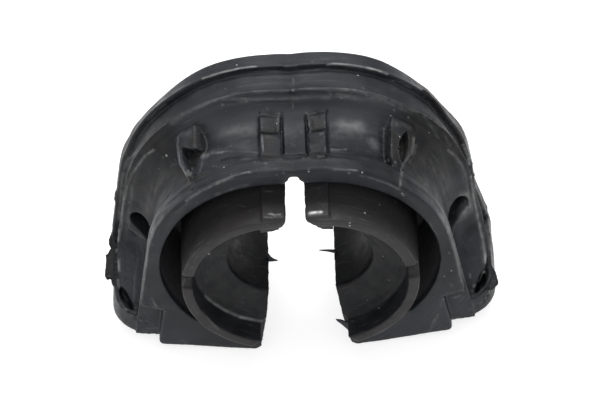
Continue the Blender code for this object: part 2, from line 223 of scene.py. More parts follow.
def plate_outline(inset):
    points = arch(plate_crown - inset, plate_crown - shoulder_inset - inset, plate_side - inset)
    side = plate_side - inset
    foot = foot_half_width - inset
    ledge = plate_ledge + inset
    points += arc(corner, 0.0, radians(-90.0), 4, (side - corner, ledge + corner))
    points.append((foot, ledge - 0.8))
    points += arc(corner, 0.0, radians(-90.0), 4, (foot - corner, foot_base + inset + corner))
    points += [(past, foot_base + inset), (past, plate_crown - inset)]
    return points


front_plate = loft("front_plate", [
    [(x, plate_setback, z) for x, z in plate_outline(0.5)],
    [(x, plate_setback + 0.15, z) for x, z in plate_outline(0.15)],
    [(x, plate_setback + 0.5, z) for x, z in plate_outline(0.0)],
    [(x, flange_front + 2.0, z) for x, z in plate_outline(0.0)],
])
print("points round the plate:", len(plate_outline(0.0)))

# %% Levels of the grooved body: depth, rise at the crown, rise at the side
sweep_turn = radians(72.0)
sweep_steps = 10


def body_levels():
    # The rim, with a fine line round it.
    levels = [(flange_front, 0.0, 0.0), (rim_back - 2.3, 0.0, 0.0), (rim_back - 2.0, 0.22, 0.22),
              (rim_back - 1.7, 0.0, 0.0), (rim_back - 0.4, -0.05, -0.05), (rim_back - 0.1, -0.25, -0.25)]
    # The step down to the floor of the groove.
    levels += [(rim_back, -1.2, -1.2), (rim_back + 0.5, -1.6, -1.6), (rim_back + 1.0, -1.4, -1.4),
               (0.5 * (rim_back + groove_floor_back), -1.45, -1.45)]
    # The hollow sweep, which is a part of a circle.
    sweep_length = sweep_back - 0.2 - groove_floor_back
    for i in range(sweep_steps + 1):
        turn = sweep_turn * i / sweep_steps
        share = (1.0 - cos(turn)) / (1.0 - cos(sweep_turn))
        depth = groove_floor_back + sweep_length * sin(turn) / sin(sweep_turn)
        levels.append((depth, -1.35 + 3.65 * share, -1.35 + 4.25 * share))
    # A crease, the bead of the crest, and the band behind it.
    levels += [(sweep_back - 0.05, 2.65, 3.3), (sweep_back + 0.1, 2.55, 3.2), (sweep_back + 0.55, 3.3, 3.9),
               (crest - 0.2, 4.0, 4.6), (crest, 4.5, 5.1), (crest + 0.25, 4.55, 5.15),
               (crest + 0.6, 4.15, 4.75), (band_front - 0.2, 3.7, 4.3), (band_front + 0.3, 3.5, 4.1)]
    # A shallow trough, and the lip at the back.
    levels += [(lip_front - 1.0, 3.45, 4.05), (lip_front - 0.55, 3.1, 3.7), (lip_front - 0.2, 3.0, 3.6),
               (lip_front - 0.05, 3.4, 4.0), (lip_front, 4.7, 5.3), (lip_front + 0.2, 4.95, 5.5),
               (lip_front + 0.6, 4.85, 5.45), (lip_front + 1.1, 4.75, 5.35),
               (total_depth - 0.8, 4.8, 5.4), (total_depth - 0.25, 4.6, 5.2), (total_depth, 4.2, 4.8)]
    return levels


print("levels along the bore:", len(body_levels()))

# %% Hook of the crest: how far it comes forward and sinks, low on the side
# Height, how far the crest comes forward, how far it sinks inwards.
hook_path = [(0.0, 0.0, 0.0), (-12.5, 0.0, 0.0), (-15.0, 0.6, 0.0), (-17.0, 2.2, 0.0), (-18.6, 4.8, 0.1),
             (-19.8, 7.8, 0.4), (-21.0, 10.2, 1.1), (-22.2, 12.0, 2.3), (-23.3, 13.4, 4.0)]
pull_that_closes = 7.8
least_floor = 0.08


def hook_at(z):
    heights = [-place[0] for place in hook_path]
    pull = np.interp(-z, heights, [place[1] for place in hook_path])
    sink = np.interp(-z, heights, [place[2] for place in hook_path])
    return float(pull), float(sink)


def hooked(depth, rise, z):
    # The floor of the groove gets shorter by the pull, and the sweep and the band stretch to fit.
    pull, sink = hook_at(z)
    if depth <= rim_back:
        return depth, rise
    floor_share = max(least_floor, 1.0 - pull / pull_that_closes)
    new_floor = rim_back + (groove_floor_back - rim_back) * floor_share
    new_crest = max(crest - pull, new_floor + 0.1)
    if depth <= groove_floor_back:
        return rim_back + (depth - rim_back) * floor_share, rise
    if depth <= crest:
        share = (depth - groove_floor_back) / (crest - groove_floor_back)
        return new_floor + (new_crest - new_floor) * share, rise - sink * share
    if depth <= lip_front:
        share = (depth - crest) / (lip_front - crest)
        return new_crest + (lip_front - new_crest) * share, rise - sink * (1.0 - share)
    return depth, rise


print("crest at its lowest, mm from the front:", round(hooked(crest, 0.0, hook_path[-1][0])[0], 1))

# %% Loft of the grooved body
lip_taper = 1.2
side_steps = 32


def body_section(depth, rise, side_rise):
    taper = lip_taper * ease((depth - lip_front) / 3.0) if depth > lip_front else 0.0
    shoulder = plate_crown - shoulder_inset + 0.5 * (rise + side_rise) - taper
    side = plate_side + side_rise
    section = [(x, depth, z) for x, z in arch(plate_crown + rise, shoulder, side)]
    lowest = foot_base + flange_height
    for i in range(1, side_steps + 1):
        z = lowest * i / side_steps
        new_depth, new_rise = hooked(depth, side_rise, z)
        section.append((plate_side + new_rise, new_depth, z))
    section.append((min(side, plate_side), depth, foot_base))
    section += [(past - 1.0, depth, foot_base), (past - 1.0, depth, plate_crown + rise)]
    return section


grooved_body = loft("grooved_body", [body_section(*level) for level in body_levels()])
print("grooved body, faces:", len(grooved_body.data.polygons))

# %% [markdown]
# The base flange.
# Seen from below it has a straight front, a round corner and a side that runs to the back. It is
# thinner than the groove is deep, so a slot stays open between it and the hook of the crest.

# %% Base flange
flange_stands_out = 5.1
flange_side = plate_side + flange_stands_out


def flange_outline(inset):
    radius = flange_corner - inset
    centre = (flange_side - flange_corner, flange_front + flange_corner)
    outline = [(past - 2.0, flange_front + inset)]
    outline += arc(radius, radians(-90.0), 0.0, 18, centre)
    outline += [(flange_side - inset, total_depth - 0.6), (past - 2.0, total_depth - 0.6)]
    return outline


flange_top = foot_base + flange_height
base_flange = loft("base_flange", [
    [(x, y, foot_base) for x, y in flange_outline(0.7)],
    [(x, y, foot_base + 0.2) for x, y in flange_outline(0.25)],
    [(x, y, foot_base + 0.7) for x, y in flange_outline(0.0)],
    [(x, y, flange_top - 0.4) for x, y in flange_outline(0.0)],
    [(x, y, flange_top) for x, y in flange_outline(0.3)],
])
print("flange reaches out to, mm:", flange_side)

# %% [markdown]
# Collar, hollow and bore.
# The collar stands free in a crescent hollow, so that the rubber can give. Its front edge is a
# counterbore, and a dished shoulder leads into the bore that holds the bar.

# %% Collar, crescent hollow and bore
collar_inner = collar_radius - collar_wall
void_back = plate_setback + void_depth

collar_tube = turned("collar_tube", [
    (0.0, 0.0), (collar_radius - 0.5, 0.0), (collar_radius - 0.15, 0.12), (collar_radius, 0.45),
    (collar_radius, void_back + 2.0), (0.0, void_back + 2.0)])

void_outline = arc(void_radius, radians(95.0), void_end, 110)
round_end = void_radius - 0.5 * void_clearance
round_centre = (round_end * cos(void_end), round_end * sin(void_end))
void_outline += arc(0.5 * void_clearance, void_end, void_end - pi, 14, round_centre)[1:]
void_outline.append((0.0, 0.0))
crescent = extrude("crescent", void_outline, plate_setback - 3.0, void_back)

# The bore's profile runs from the counterbore over the dished shoulder to the back.
mouth = counterbore_depth + shoulder_dish
bore = turned("bore", [
    (0.0, -3.0), (collar_inner + 0.35, -3.0), (collar_inner + 0.35, 0.0), (collar_inner + 0.1, 0.1),
    (collar_inner, 0.4), (collar_inner, counterbore_depth - 0.5), (collar_inner - 0.5, counterbore_depth),
    (bore_radius + 1.0, mouth), (bore_radius + 0.3, mouth + 0.25), (bore_radius, mouth + 0.9),
    (bore_radius, total_depth - 0.6), (bore_radius + 0.6, total_depth),
    (bore_radius + 0.6, total_depth + 3.0), (0.0, total_depth + 3.0)])
print("hollow, mm deep:", void_depth, "mouth of the bore, mm deep:", mouth)

# %% [markdown]
# Small forms.
# Two locating tabs stand in the groove beside the middle, each between two narrow slots. On each
# shoulder a web with a pocket ties the rim to the sweep. A deep pocket opens low in the side of the
# groove, and a slot parts the hook of the crest from the base flange. All of them are short lofts
# or blocks that stand on the arch at an angle.

# %% Helper for a form that stands on the arch
def on_arch(name, angle, outlines):
    # Each outline is a list of (depth, radius) at one place across, in millimetres.
    sections = []
    for across, outline in outlines:
        sections.append([(across, depth, radius) for depth, radius in outline])
    piece = loft(name, sections)
    piece.data.transform(Matrix.Rotation(radians(90.0) - angle, 4, "Y"))
    return piece


def slab(across_low, across_high, outline):
    return [(across_low, outline), (across_high, outline)]


upright = radians(90.0)
print("angle of the crown, in radians:", round(upright, 3))

# %% Locating tabs and their slots
tab_places = {"right": (3.6, 7.6), "left": (2.6, 7.1)}
slot_width = 0.7
tab_outline = [(9.6, 26.0), (9.6, plate_crown - 0.1), (10.4, plate_crown + 0.35),
               (15.6, plate_crown + 0.45), (16.4, plate_crown + 0.2), (16.8, 29.2), (18.0, 28.75),
               (21.6, 29.35), (22.3, 29.3), (22.5, 26.0)]
slot_outline = [(rim_back - 0.1, 27.2), (rim_back - 0.1, 40.0), (22.2, 40.0), (22.1, 28.9), (18.9, 27.2)]


def tab_and_slots(side):
    low, high = tab_places[side]
    tab = on_arch("tab_" + side, upright, slab(low, high, tab_outline))
    slots = []
    for across in (low - slot_width, high):
        name = "slot_" + side + str(len(slots))
        slots.append(on_arch(name, upright, slab(across, across + slot_width, slot_outline)))
    return tab, slots


print("tabs, mm across:", {side: round(high - low, 1) for side, (low, high) in tab_places.items()})

# %% Outlines of the webs and their pockets: the two sides came out of the mould differently
web_angle = radians(42.0)
web_fronts = {
    # How far across, where the front stands, and how far the top drops there.
    "right": [(-3.4, 13.4, 0.0), (-2.8, 12.0, 0.0), (-1.6, 10.8, 0.0), (-0.6, 10.4, 0.0), (0.6, 13.0, 0.0),
              (2.0, 15.5, 0.0), (3.3, 17.6, 0.0)],
    "left": [(-4.9, 18.9, 2.5), (-4.2, 17.8, 1.1), (-3.6, 16.2, 0.2), (-2.6, 12.8, 0.0), (-1.6, 10.8, 0.0),
             (-0.9, 10.6, 0.0), (0.0, 12.2, 0.0), (0.9, 14.4, 0.0), (1.8, 16.4, 0.0)],
}
web_pockets = {
    # Across and along the bore, seen from above.
    "right": [(0.9, 22.0), (-0.3, 20.2), (-1.2, 17.8), (-1.4, 16.0), (-1.0, 13.4), (-0.5, 12.2), (0.1, 13.5),
              (0.8, 15.5), (1.2, 17.6), (1.3, 20.0)],
    "left": [(0.3, 19.8), (-0.9, 19.4), (-2.0, 18.4), (-3.8, 17.6), (-5.4, 16.6), (-5.4, 13.2), (-2.4, 11.9),
             (-1.5, 12.6), (-0.5, 14.8), (0.2, 17.0)],
}
web_pocket_floor = {"right": 28.5, "left": 28.1}
web_back = 23.6
above_all = 40.0
print("points of the webs:", {side: len(fronts) for side, fronts in web_fronts.items()})

# %% Web on the shoulder, with its pocket
def web_and_pocket(side):
    # The web is a loft across the shoulder. Its pocket is cut straight down on the same slant.
    sections = []
    for across, front, drop in web_fronts[side]:
        sections.append((across, [(front, 26.0), (front, 29.3 - drop), (front + 0.5, 29.9 - drop),
                                  (front + 3.0, 30.35 - drop), (web_back - 1.5, 30.8 - drop),
                                  (web_back, 31.2 - drop), (web_back + 0.3, 26.0)]))
    body = on_arch("web_" + side, web_angle, sections)
    floor, ring = web_pocket_floor[side], web_pockets[side]
    hollow = loft("web_pocket_" + side, [[(x, y, z) for x, y in ring] for z in (floor, above_all)])
    hollow.data.transform(Matrix.Rotation(radians(90.0) - web_angle, 4, "Y"))
    return body, hollow


# %% Side pocket: a leaf that gets smaller and moves inwards as it goes back
leaf_half_length = 4.7
leaf_half_width = 2.7
leaf_height = -8.0
leaf_slant = radians(42.0)


def leaf_ring(depth, scale, shift, steps=28):
    points = []
    for i in range(steps):
        turn = 2.0 * pi * i / steps
        long_way = leaf_half_length * scale * cos(turn) - shift
        short_way = leaf_half_width * scale * sin(turn) * (1.0 + 0.2 * cos(turn))
        x = plate_side + 1.0 + long_way * cos(leaf_slant) - short_way * sin(leaf_slant)
        points.append((x, depth, leaf_height + long_way * sin(leaf_slant) + short_way * cos(leaf_slant)))
    return points


side_pocket = loft("side_pocket", [
    leaf_ring(17.0, 1.0, 0.0), leaf_ring(20.5, 1.0, 0.1), leaf_ring(24.5, 0.72, 1.2),
    leaf_ring(28.5, 0.42, 2.2)])
print("side pocket, mm long:", 2.0 * leaf_half_length)

# %% Hook pocket: a sickle that follows the flange's round corner, and the small slot beside the plate
sickle_from, sickle_turn = -63.0, 81.0
sickle_width = 2.3
sickle_wall = 1.0


def corner_ring(height, lean, steps=20):
    outer, inner = [], []
    for i in range(steps + 1):
        turn = radians(sickle_from + sickle_turn * i / steps)
        edge = flange_corner - sickle_wall
        width = sickle_width * sin(pi * i / steps)
        for ring, radius in ((outer, edge), (inner, edge - width)):
            x = flange_side - flange_corner + radius * cos(turn) + lean
            ring.append((x, flange_front + flange_corner + radius * sin(turn), height))
    return outer + inner[-2:0:-1]


hook_pocket = loft("hook_pocket", [corner_ring(-26.6, 0.0), corner_ring(-23.3, 0.0), corner_ring(-21.0, 1.6)])
small_slot = extrude("small_slot", [(26.6, -12.4), (29.4, -13.6), (29.4, -14.3), (26.6, -13.1)], 9.6, 12.2)
print("hook pocket, points a ring:", len(corner_ring(0.0, 0.0)))

# %% [markdown]
# Split, notches and thick ends.
# Beside the split the collar is thicker, and its front edge is a little rough. The split itself is
# flared under the bridge, where the rubber folds, and chamfered at the foot.

# %% Collar ends and the notch in the collar's side
pad_inner = collar_inner - 1.1
pad_outer = collar_radius + 1.0
pad_right = split_half_gap + 5.0
end_pad = extrude("end_pad", [
    (past, pad_inner + 1.0), (split_half_gap + 1.0, pad_inner),
    (pad_right, sqrt(pad_inner ** 2 - pad_right ** 2)), (pad_right, sqrt(pad_outer ** 2 - pad_right ** 2)),
    (past, pad_outer)], 0.2, void_back + 2.0)

notch = loft("notch", [
    [(14.0, -2.0, 1.6), (23.0, -2.0, 1.9), (23.0, -2.0, -2.6), (14.0, -2.0, -3.0)],
    [(14.0, 0.6, 1.3), (23.0, 0.6, 1.5), (23.0, 0.6, -2.2), (14.0, 0.6, -2.6)],
    [(15.5, 2.6, 0.0), (23.0, 2.2, 0.4), (23.0, 2.2, -0.9), (15.5, 2.6, -1.0)]])
print("end of the collar reaches, mm from the split:", pad_right)

# %% Split: flared under the bridge and chamfered at the foot
far = -collar_radius - 3.0
split_outline = [(far, foot_base - 2.0), (foot_edge + 2.0, foot_base - 2.0),
                 (split_half_gap, foot_base + 1.2)]
split_outline += [(split_half_gap, void_radius - 1.8), (split_half_gap + 0.9, void_radius - 0.9)]
split_outline += [(split_half_gap + 0.9, void_radius), (split_half_gap, void_radius + 1.35)]
split_outline += arc(split_half_gap, 0.0, radians(72.0), 8, (0.0, hinge_height - split_half_gap))
split_outline.append((far, hinge_height + 2.0))
split = extrude("split", split_outline, -3.0, total_depth + 3.0)

collar_end_cut = extrude("collar_end_cut", [
    (far, -collar_radius - 2.0), (split_half_gap + 5.0, -collar_radius - 2.0),
    (split_half_gap, -collar_radius + 3.6), (far, -collar_radius + 3.6)], -3.0, plate_setback)
print("split, mm wide:", 2.0 * split_half_gap, "collar's end, mm:", round(pad_outer - pad_inner, 1))

# %% [markdown]
# Joining the half, opening it, and mirroring it.
# Booleans join and cut the rough solids in the order in which the shapes lie over each other. The
# half is then swung about the hinge line, cut at the middle plane and mirrored.

# %% Join and cut
def combine(target, tool, operation):
    step = target.modifiers.new(tool.name, "BOOLEAN")
    step.operation = operation
    step.solver = "MANIFOLD"
    step.object = tool


half = front_plate
for tool in (grooved_body, base_flange):
    combine(half, tool, "UNION")
combine(half, crescent, "DIFFERENCE")
combine(half, collar_tube, "UNION")
combine(half, bore, "DIFFERENCE")
combine(half, end_pad, "UNION")
for tool in (side_pocket, hook_pocket, small_slot, notch, collar_end_cut, split):
    combine(half, tool, "DIFFERENCE")


def evaluated(piece):
    graph = bpy.context.evaluated_depsgraph_get()
    return bpy.data.meshes.new_from_object(piece.evaluated_get(graph))


plain_half = evaluated(half)
print("joined half, faces:", len(plain_half.polygons))

# %% Give each half its tab, swing it open and cut it at the middle plane
to_hinge = Matrix.Translation((0.0, -0.5 * total_depth * MM, -hinge_height * MM))
swing = Matrix.Rotation(-open_angle, 4, "Y")
lift = Matrix.Translation((0.0, 0.0, hinge_world * MM))
opened = lift @ swing @ to_hinge
overlap = 0.05 * MM
both = bmesh.new()
for side in ("right", "left"):
    piece = bpy.data.objects.new("half_" + side, plain_half)
    workshop.objects.link(piece)
    tab, slots = tab_and_slots(side)
    web, pocket = web_and_pocket(side)
    for tool in (tab, web):
        combine(piece, tool, "UNION")
    for tool in slots + [pocket]:
        combine(piece, tool, "DIFFERENCE")
    mesh = evaluated(piece)
    mesh.transform(opened)
    one = bmesh.new()
    one.from_mesh(mesh)
    everything = one.verts[:] + one.edges[:] + one.faces[:]
    bmesh.ops.bisect_plane(
        one, geom=everything, plane_co=(-overlap, 0, 0), plane_no=(1, 0, 0), clear_inner=True)
    bmesh.ops.holes_fill(one, edges=[edge for edge in one.edges if edge.is_boundary])
    if side == "left":
        bmesh.ops.scale(one, vec=(-1, 1, 1), verts=one.verts)
        bmesh.ops.reverse_faces(one, faces=one.faces)
    one.to_mesh(mesh)
    one.free()
    both.from_mesh(mesh)
print("two opened halves, faces:", len(both.faces))

# %% [markdown]
# Flash.
# Rubber that squeezed out between the mould halves stays on the edge as a thin ragged film. Each
# film is an outline in a flat plane, a little thicker than the voxels of the skin, so that the
# remesh below grows it together with the body. A row names the axis that the plane is square to, its
# place on that axis, and the outline's points.

# %% Ragged films along the parting line, in world millimetres
films = {
    "right_upper": ("Y", 14.6, [(28.6, 52.4), (29.2, 51.6), (29.8, 50.9), (30.2, 50.1), (30.4, 49.1),
        (31.1, 48.8), (31.4, 48.1), (31.3, 47.2), (31.5, 46.5), (31.8, 45.7), (32.9, 45.3), (33.1, 44.6),
        (33.7, 44.3), (34.3, 42.8), (34.7, 41.5), (35.3, 39.5), (35.9, 37.9), (36.3, 36.6), (36.7, 35.3),
        (37.1, 33.6), (37.5, 32.3), (37.9, 30.6), (38.5, 29.3), (39, 28), (38.9, 25.7), (38.7, 24.9),
        (39.3, 24.8), (39.7, 24.2), (39.2, 23.4), (38.7, 23.8), (38.6, 22.4), (37, 22.6), (36.8, 29.1),
        (34.6, 37.3), (31.5, 43), (28.5, 49.6)]),
    "right_lower": ("Y", 14.6, [(38.7, 18.5), (39.1, 17.1), (39.7, 16.1), (39.9, 14.4), (40.3, 13.1),
        (40.7, 11.4), (40.5, 10.1), (40.9, 9.7), (40.9, 8.4), (41.3, 6.3), (41.4, 5.8), (41.9, 5.8),
        (41.6, 5.8), (41.6, 5.8), (41.5, 5.8), (40, 5.8), (38.9, 9.2), (37.3, 17.6)]),
    "right_knob": ("Z", 9.4, [(41, 2), (41.5, 0.2), (42.1, -1), (42.5, -3.3), (42.5, -4.5), (41.7, -5.3),
        (41, -6.1), (39.7, -6), (39.7, 2.1)]),
    "left_upper": ("Y", 14.6, [(-39, 25.6), (-39.7, 24.4), (-40.1, 22.1), (-39.8, 21.1), (-39.7, 20.6),
        (-40.2, 19.5), (-40.1, 18.8), (-39.8, 18.4), (-39.1, 18.4), (-38.3, 25.6)]),
    "left_flap": ("Z", 9.4, [(-41.7, 16.2), (-42, 15.1), (-42.3, 13.9), (-42.3, 12.5), (-42, 11.3),
        (-42.6, 10.7), (-43.1, 9.6), (-43.5, 9.5), (-43.4, 7.6), (-43.5, 5.3), (-43.6, 3.5), (-43.2, 2.5),
        (-42.7, 2.4), (-42.5, 3.4), (-42.2, 2.5), (-42, 1.1), (-41.1, -0.2), (-40.8, 7.4), (-40.9, 15)]),
}
film_thickness = 0.7


def film_solid(name, normal_axis, level, outline, thickness):
    rings = []
    for offset in (-0.5 * thickness, 0.5 * thickness):
        if normal_axis == "Y":
            rings.append([(a, level + offset, b) for a, b in outline])
        else:
            rings.append([(a, b, level + offset) for a, b in outline])
    return loft(name, rings)


for name, (normal_axis, level, outline) in films.items():
    film = film_solid(name, normal_axis, level, outline, film_thickness)
    both.from_mesh(film.data)
    bpy.data.objects.remove(film, do_unlink=True)
print("films:", list(films))

# %% One mesh of everything that the skin will cover
rough = bpy.data.meshes.new("rough")
both.to_mesh(rough)
both.free()
skin = bpy.data.objects.new("bushing_skin", rough)
bpy.context.scene.collection.objects.link(skin)
print("rough mesh, faces:", len(rough.polygons))

# %% [markdown]
# One continuous skin.
# Moulded rubber has no perfectly sharp edge. A fine voxel remesh turns the joined solids into one
# even skin, and a few rounds of smoothing round every edge by about half a millimetre.

# %% Remesh and smooth
voxel = 0.25 * MM
remesh = skin.modifiers.new("skin", "REMESH")
remesh.mode = "VOXEL"
remesh.voxel_size = voxel
relax = skin.modifiers.new("relax", "SMOOTH")
relax.factor = 0.5
relax.iterations = 3
skin_mesh = evaluated(skin)
skin.modifiers.clear()
skin.data = skin_mesh
print("skin, faces:", len(skin_mesh.polygons))

# %% [markdown]
# Whiskers.
# Three hairs of torn film hang into the split. They are thinner than the skin's voxels, so they are
# small flat pieces of their own, in the same rubber.

# %% Torn whiskers in the split
whiskers = {
    "whisker_left": (-0.5, [(-7.4, 19.3), (-6.6, 17.5), (-6, 16.8), (-5.2, 16.3), (-6.5, 16.2),
        (-7.6, 16.2)]),
    "whisker_right": (0.3, [(7.8, 17.9), (5.8, 18.1), (3.9, 18.1), (5.8, 17.6), (7.7, 16.8)]),
    "whisker_low": (-12, [(6.8, 9.1), (7.9, 8.9), (9, 8.2), (10.4, 6.9), (10.4, 4.9), (9.1, 5.8),
        (7.9, 7.6), (7.3, 8.3)]),
}
whisker_thickness = 0.3
whisker_mesh = bmesh.new()
for name, (level, outline) in whiskers.items():
    part = film_solid(name, "Y", level, outline, whisker_thickness)
    whisker_mesh.from_mesh(part.data)
    bpy.data.objects.remove(part, do_unlink=True)
whisker_data = bpy.data.meshes.new("split_whiskers")
whisker_mesh.to_mesh(whisker_data)
whisker_mesh.free()
whisker_piece = bpy.data.objects.new("split_whiskers", whisker_data)
bpy.context.scene.collection.objects.link(whisker_piece)
print("whiskers:", len(whisker_data.polygons), "faces")

# %% Clear the workshop: the rough solids have done their work
for tool in list(workshop.objects):
    bpy.data.objects.remove(tool, do_unlink=True)
bpy.data.collections.remove(workshop)

# %% [markdown]
# The skin as numbers.
# The fine marks of the moulding are too small for booleans, so they are pushed into the skin point
# by point. With every point in one array, a whole layer of relief is a few lines of arithmetic.
# Each point also gets its place in the closed half, where the bore axis is a plain straight line.

# %% Points, normals and places in the closed half
count = len(skin_mesh.vertices)
spots = np.empty(count * 3)
skin_mesh.vertices.foreach_get("co", spots)
spots = spots.reshape(-1, 3) / MM
normals = np.empty(count * 3)
skin_mesh.vertices.foreach_get("normal", normals)
normals = normals.reshape(-1, 3)
pairs = np.empty(len(skin_mesh.edges) * 2, dtype=np.int64)
skin_mesh.edges.foreach_get("vertices", pairs)
pairs = pairs.reshape(-1, 2)


def closed(points):
    # World millimetres to the closed half: away from the split, along the bore, up from its axis.
    side = np.abs(points[:, 0])
    height = points[:, 2] - hinge_world
    x = side * cos(open_angle) + height * sin(open_angle)
    z = hinge_height - side * sin(open_angle) + height * cos(open_angle)
    return np.stack([x, points[:, 1] + 0.5 * total_depth, z], axis=1)


flat = closed(spots)
from_split, depth, above_axis = flat.T
from_axis = np.hypot(from_split, above_axis)
turn_angle = np.arctan2(above_axis, from_split)
print("points:", count)

# %% Smooth noise in millimetres, for relief and for masks
def speckle(points, size, seed):
    # Random values on a lattice, blended between its corners; the result runs from -1 to 1. The
    # size is one number, or three where the specks are longer one way.
    table = np.random.default_rng(seed).random((32, 32, 32)) * 2.0 - 1.0
    place = points / np.asarray(size)
    cell = np.floor(place).astype(np.int64)
    part = place - cell
    part = part * part * (3.0 - 2.0 * part)
    total = np.zeros(len(points))
    for dx in (0, 1):
        for dy in (0, 1):
            for dz in (0, 1):
                corner = table[(cell[:, 0] + dx) % 32, (cell[:, 1] + dy) % 32, (cell[:, 2] + dz) % 32]
                weight = np.where(dx, part[:, 0], 1.0 - part[:, 0])
                weight = weight * np.where(dy, part[:, 1], 1.0 - part[:, 1])
                weight = weight * np.where(dz, part[:, 2], 1.0 - part[:, 2])
                total += corner * weight
    return total


def eased(values):
    values = np.clip(values, 0.0, 1.0)
    return values * values * (3.0 - 2.0 * values)


print("example of noise:", speckle(spots[:2], 1.6, 17).round(3))

# %% [markdown]
# The back lip and the torn corners.
# The two halves of the real piece aren't quite alike. The lip at the back is trimmed on the right
# and stands out a little on the left, and the lower front corners of the collar's thick ends are torn
# away. Both are small shifts of points that are there already, so no new cut is needed: a table of
# heights says how much to trim, and a soft ball round each corner moves what is inside it.

# %% Trim the back lip: height in the closed half, and how much comes off on each side
trim_heights = [-24.0, -21.0, -18.4, -16.0, -13.0, -10.3, -7.0, -2.0, 3.4, 6.0, 8.8, 11.5, 14.0, 17.0]
trim_right = [0.2, 0.6, 0.8, 1.1, 1.3, 1.1, 0.9, 0.7, 0.8, 1.0, 1.2, 1.2, 0.8, 0.2]
trim_left = [-0.5, -0.5, -0.5, -0.5, -0.5, -0.5, -0.5, -0.5, -0.2, 0.1, 0.0, 0.0, 0.0, 0.0]
lip_share = eased((depth - 27.5) / 4.0) * eased((from_split - 24.0) / 3.0)
trim = np.where(spots[:, 0] > 0.0, np.interp(above_axis, trim_heights, trim_right),
                np.interp(above_axis, trim_heights, trim_left)) * lip_share
spots[:, 0] -= np.sign(spots[:, 0]) * trim
print("lip trimmed by, mm:", round(float(trim.min()), 2), "to", round(float(trim.max()), 2))

# %% Tear the lower corners of the collar's ends: centre, reach, and shift, in world millimetres
torn_corners = [
    ((2.4, -17.9, 45.4), 3.6, (1.9, 0.0, 0.4)),
    ((-2.5, -17.9, 45.4), 2.8, (-1.1, 0.0, 0.3)),
]
for centre, reach, shift in torn_corners:
    share = eased(1.0 - np.linalg.norm(spots - np.array(centre), axis=1) / reach)
    spots += share[:, None] * np.array(shift)
    print("points moved:", int(np.count_nonzero(share)))

# %% [markdown]
# Curvature.
# An edge that stands out is made paler, and a corner that turns inwards gets painted shade. How far a point
# stands out from the middle of its neighbours tells the two apart. It is measured on the even skin, spread a
# little, and kept on the mesh as a value that the material reads.

# %% Measure how far each point stands out
least_edge = 0.05
full_edge = 0.22


def spread(values, rounds):
    share = np.bincount(pairs.ravel(), minlength=count)
    for _ in range(rounds):
        total = np.bincount(pairs[:, 0], values[pairs[:, 1]], count)
        total += np.bincount(pairs[:, 1], values[pairs[:, 0]], count)
        values = 0.5 * values + 0.5 * total / share
    return values


around = np.stack([spread(spots[:, axis], 6) for axis in range(3)], axis=1)
stands_out = ((spots - around) * normals).sum(axis=1)
edge_mask = eased((stands_out - least_edge) / full_edge)
# A corner that turns inwards gets painted shade in the material.
inward_shade_mask = eased((-stands_out - least_edge) / full_edge)
print("stands out, mm:", round(float(stands_out.min()), 2), round(float(stands_out.max()), 2))

# %% [markdown]
# Relief.
# Rubber comes out of its mould a little uneven: low waves on the broad faces, fine lines along the
# arch where it flowed, and torn edges where the split was cut. Each is a push along the normal,
# with a mask that says where it belongs.

# %% Low waves, and flow lines along the arch
push = 0.07 * speckle(spots, 9.0, 11) + 0.035 * speckle(spots, 3.2, 12)
along = np.stack([turn_angle * from_axis, depth, from_axis], axis=1)
outside = eased((from_axis - 26.0) / 1.5) * eased((depth - rim_back) / 1.0)
push += outside * 0.030 * speckle(along, (16.0, 0.9, 3.0), 13)
push += outside * 0.045 * speckle(along, (7.0, 3.0, 3.0), 14)
print("waves, mm:", round(float(push.min()), 2), round(float(push.max()), 2))

# %% Torn split, uneven edges and rough feet
near_split = eased(1.0 - (from_split - split_half_gap) / 0.8) * (above_axis < void_radius)
push += near_split * (0.10 * speckle(spots, 1.1, 15) + 0.06 * speckle(spots, 0.45, 16))
push += edge_mask * 0.09 * speckle(spots, 1.6, 17)
push += 0.022 * speckle(spots, 1.3, 18)
foot_front = eased((-20.0 - above_axis) / 2.0) * eased((from_split - 22.0) / 2.0)
push += foot_front * edge_mask * 0.35 * speckle(spots, 1.8, 19)
spots = spots + normals * push[:, None]
print("relief, mm:", round(float(push.min()), 2), round(float(push.max()), 2))
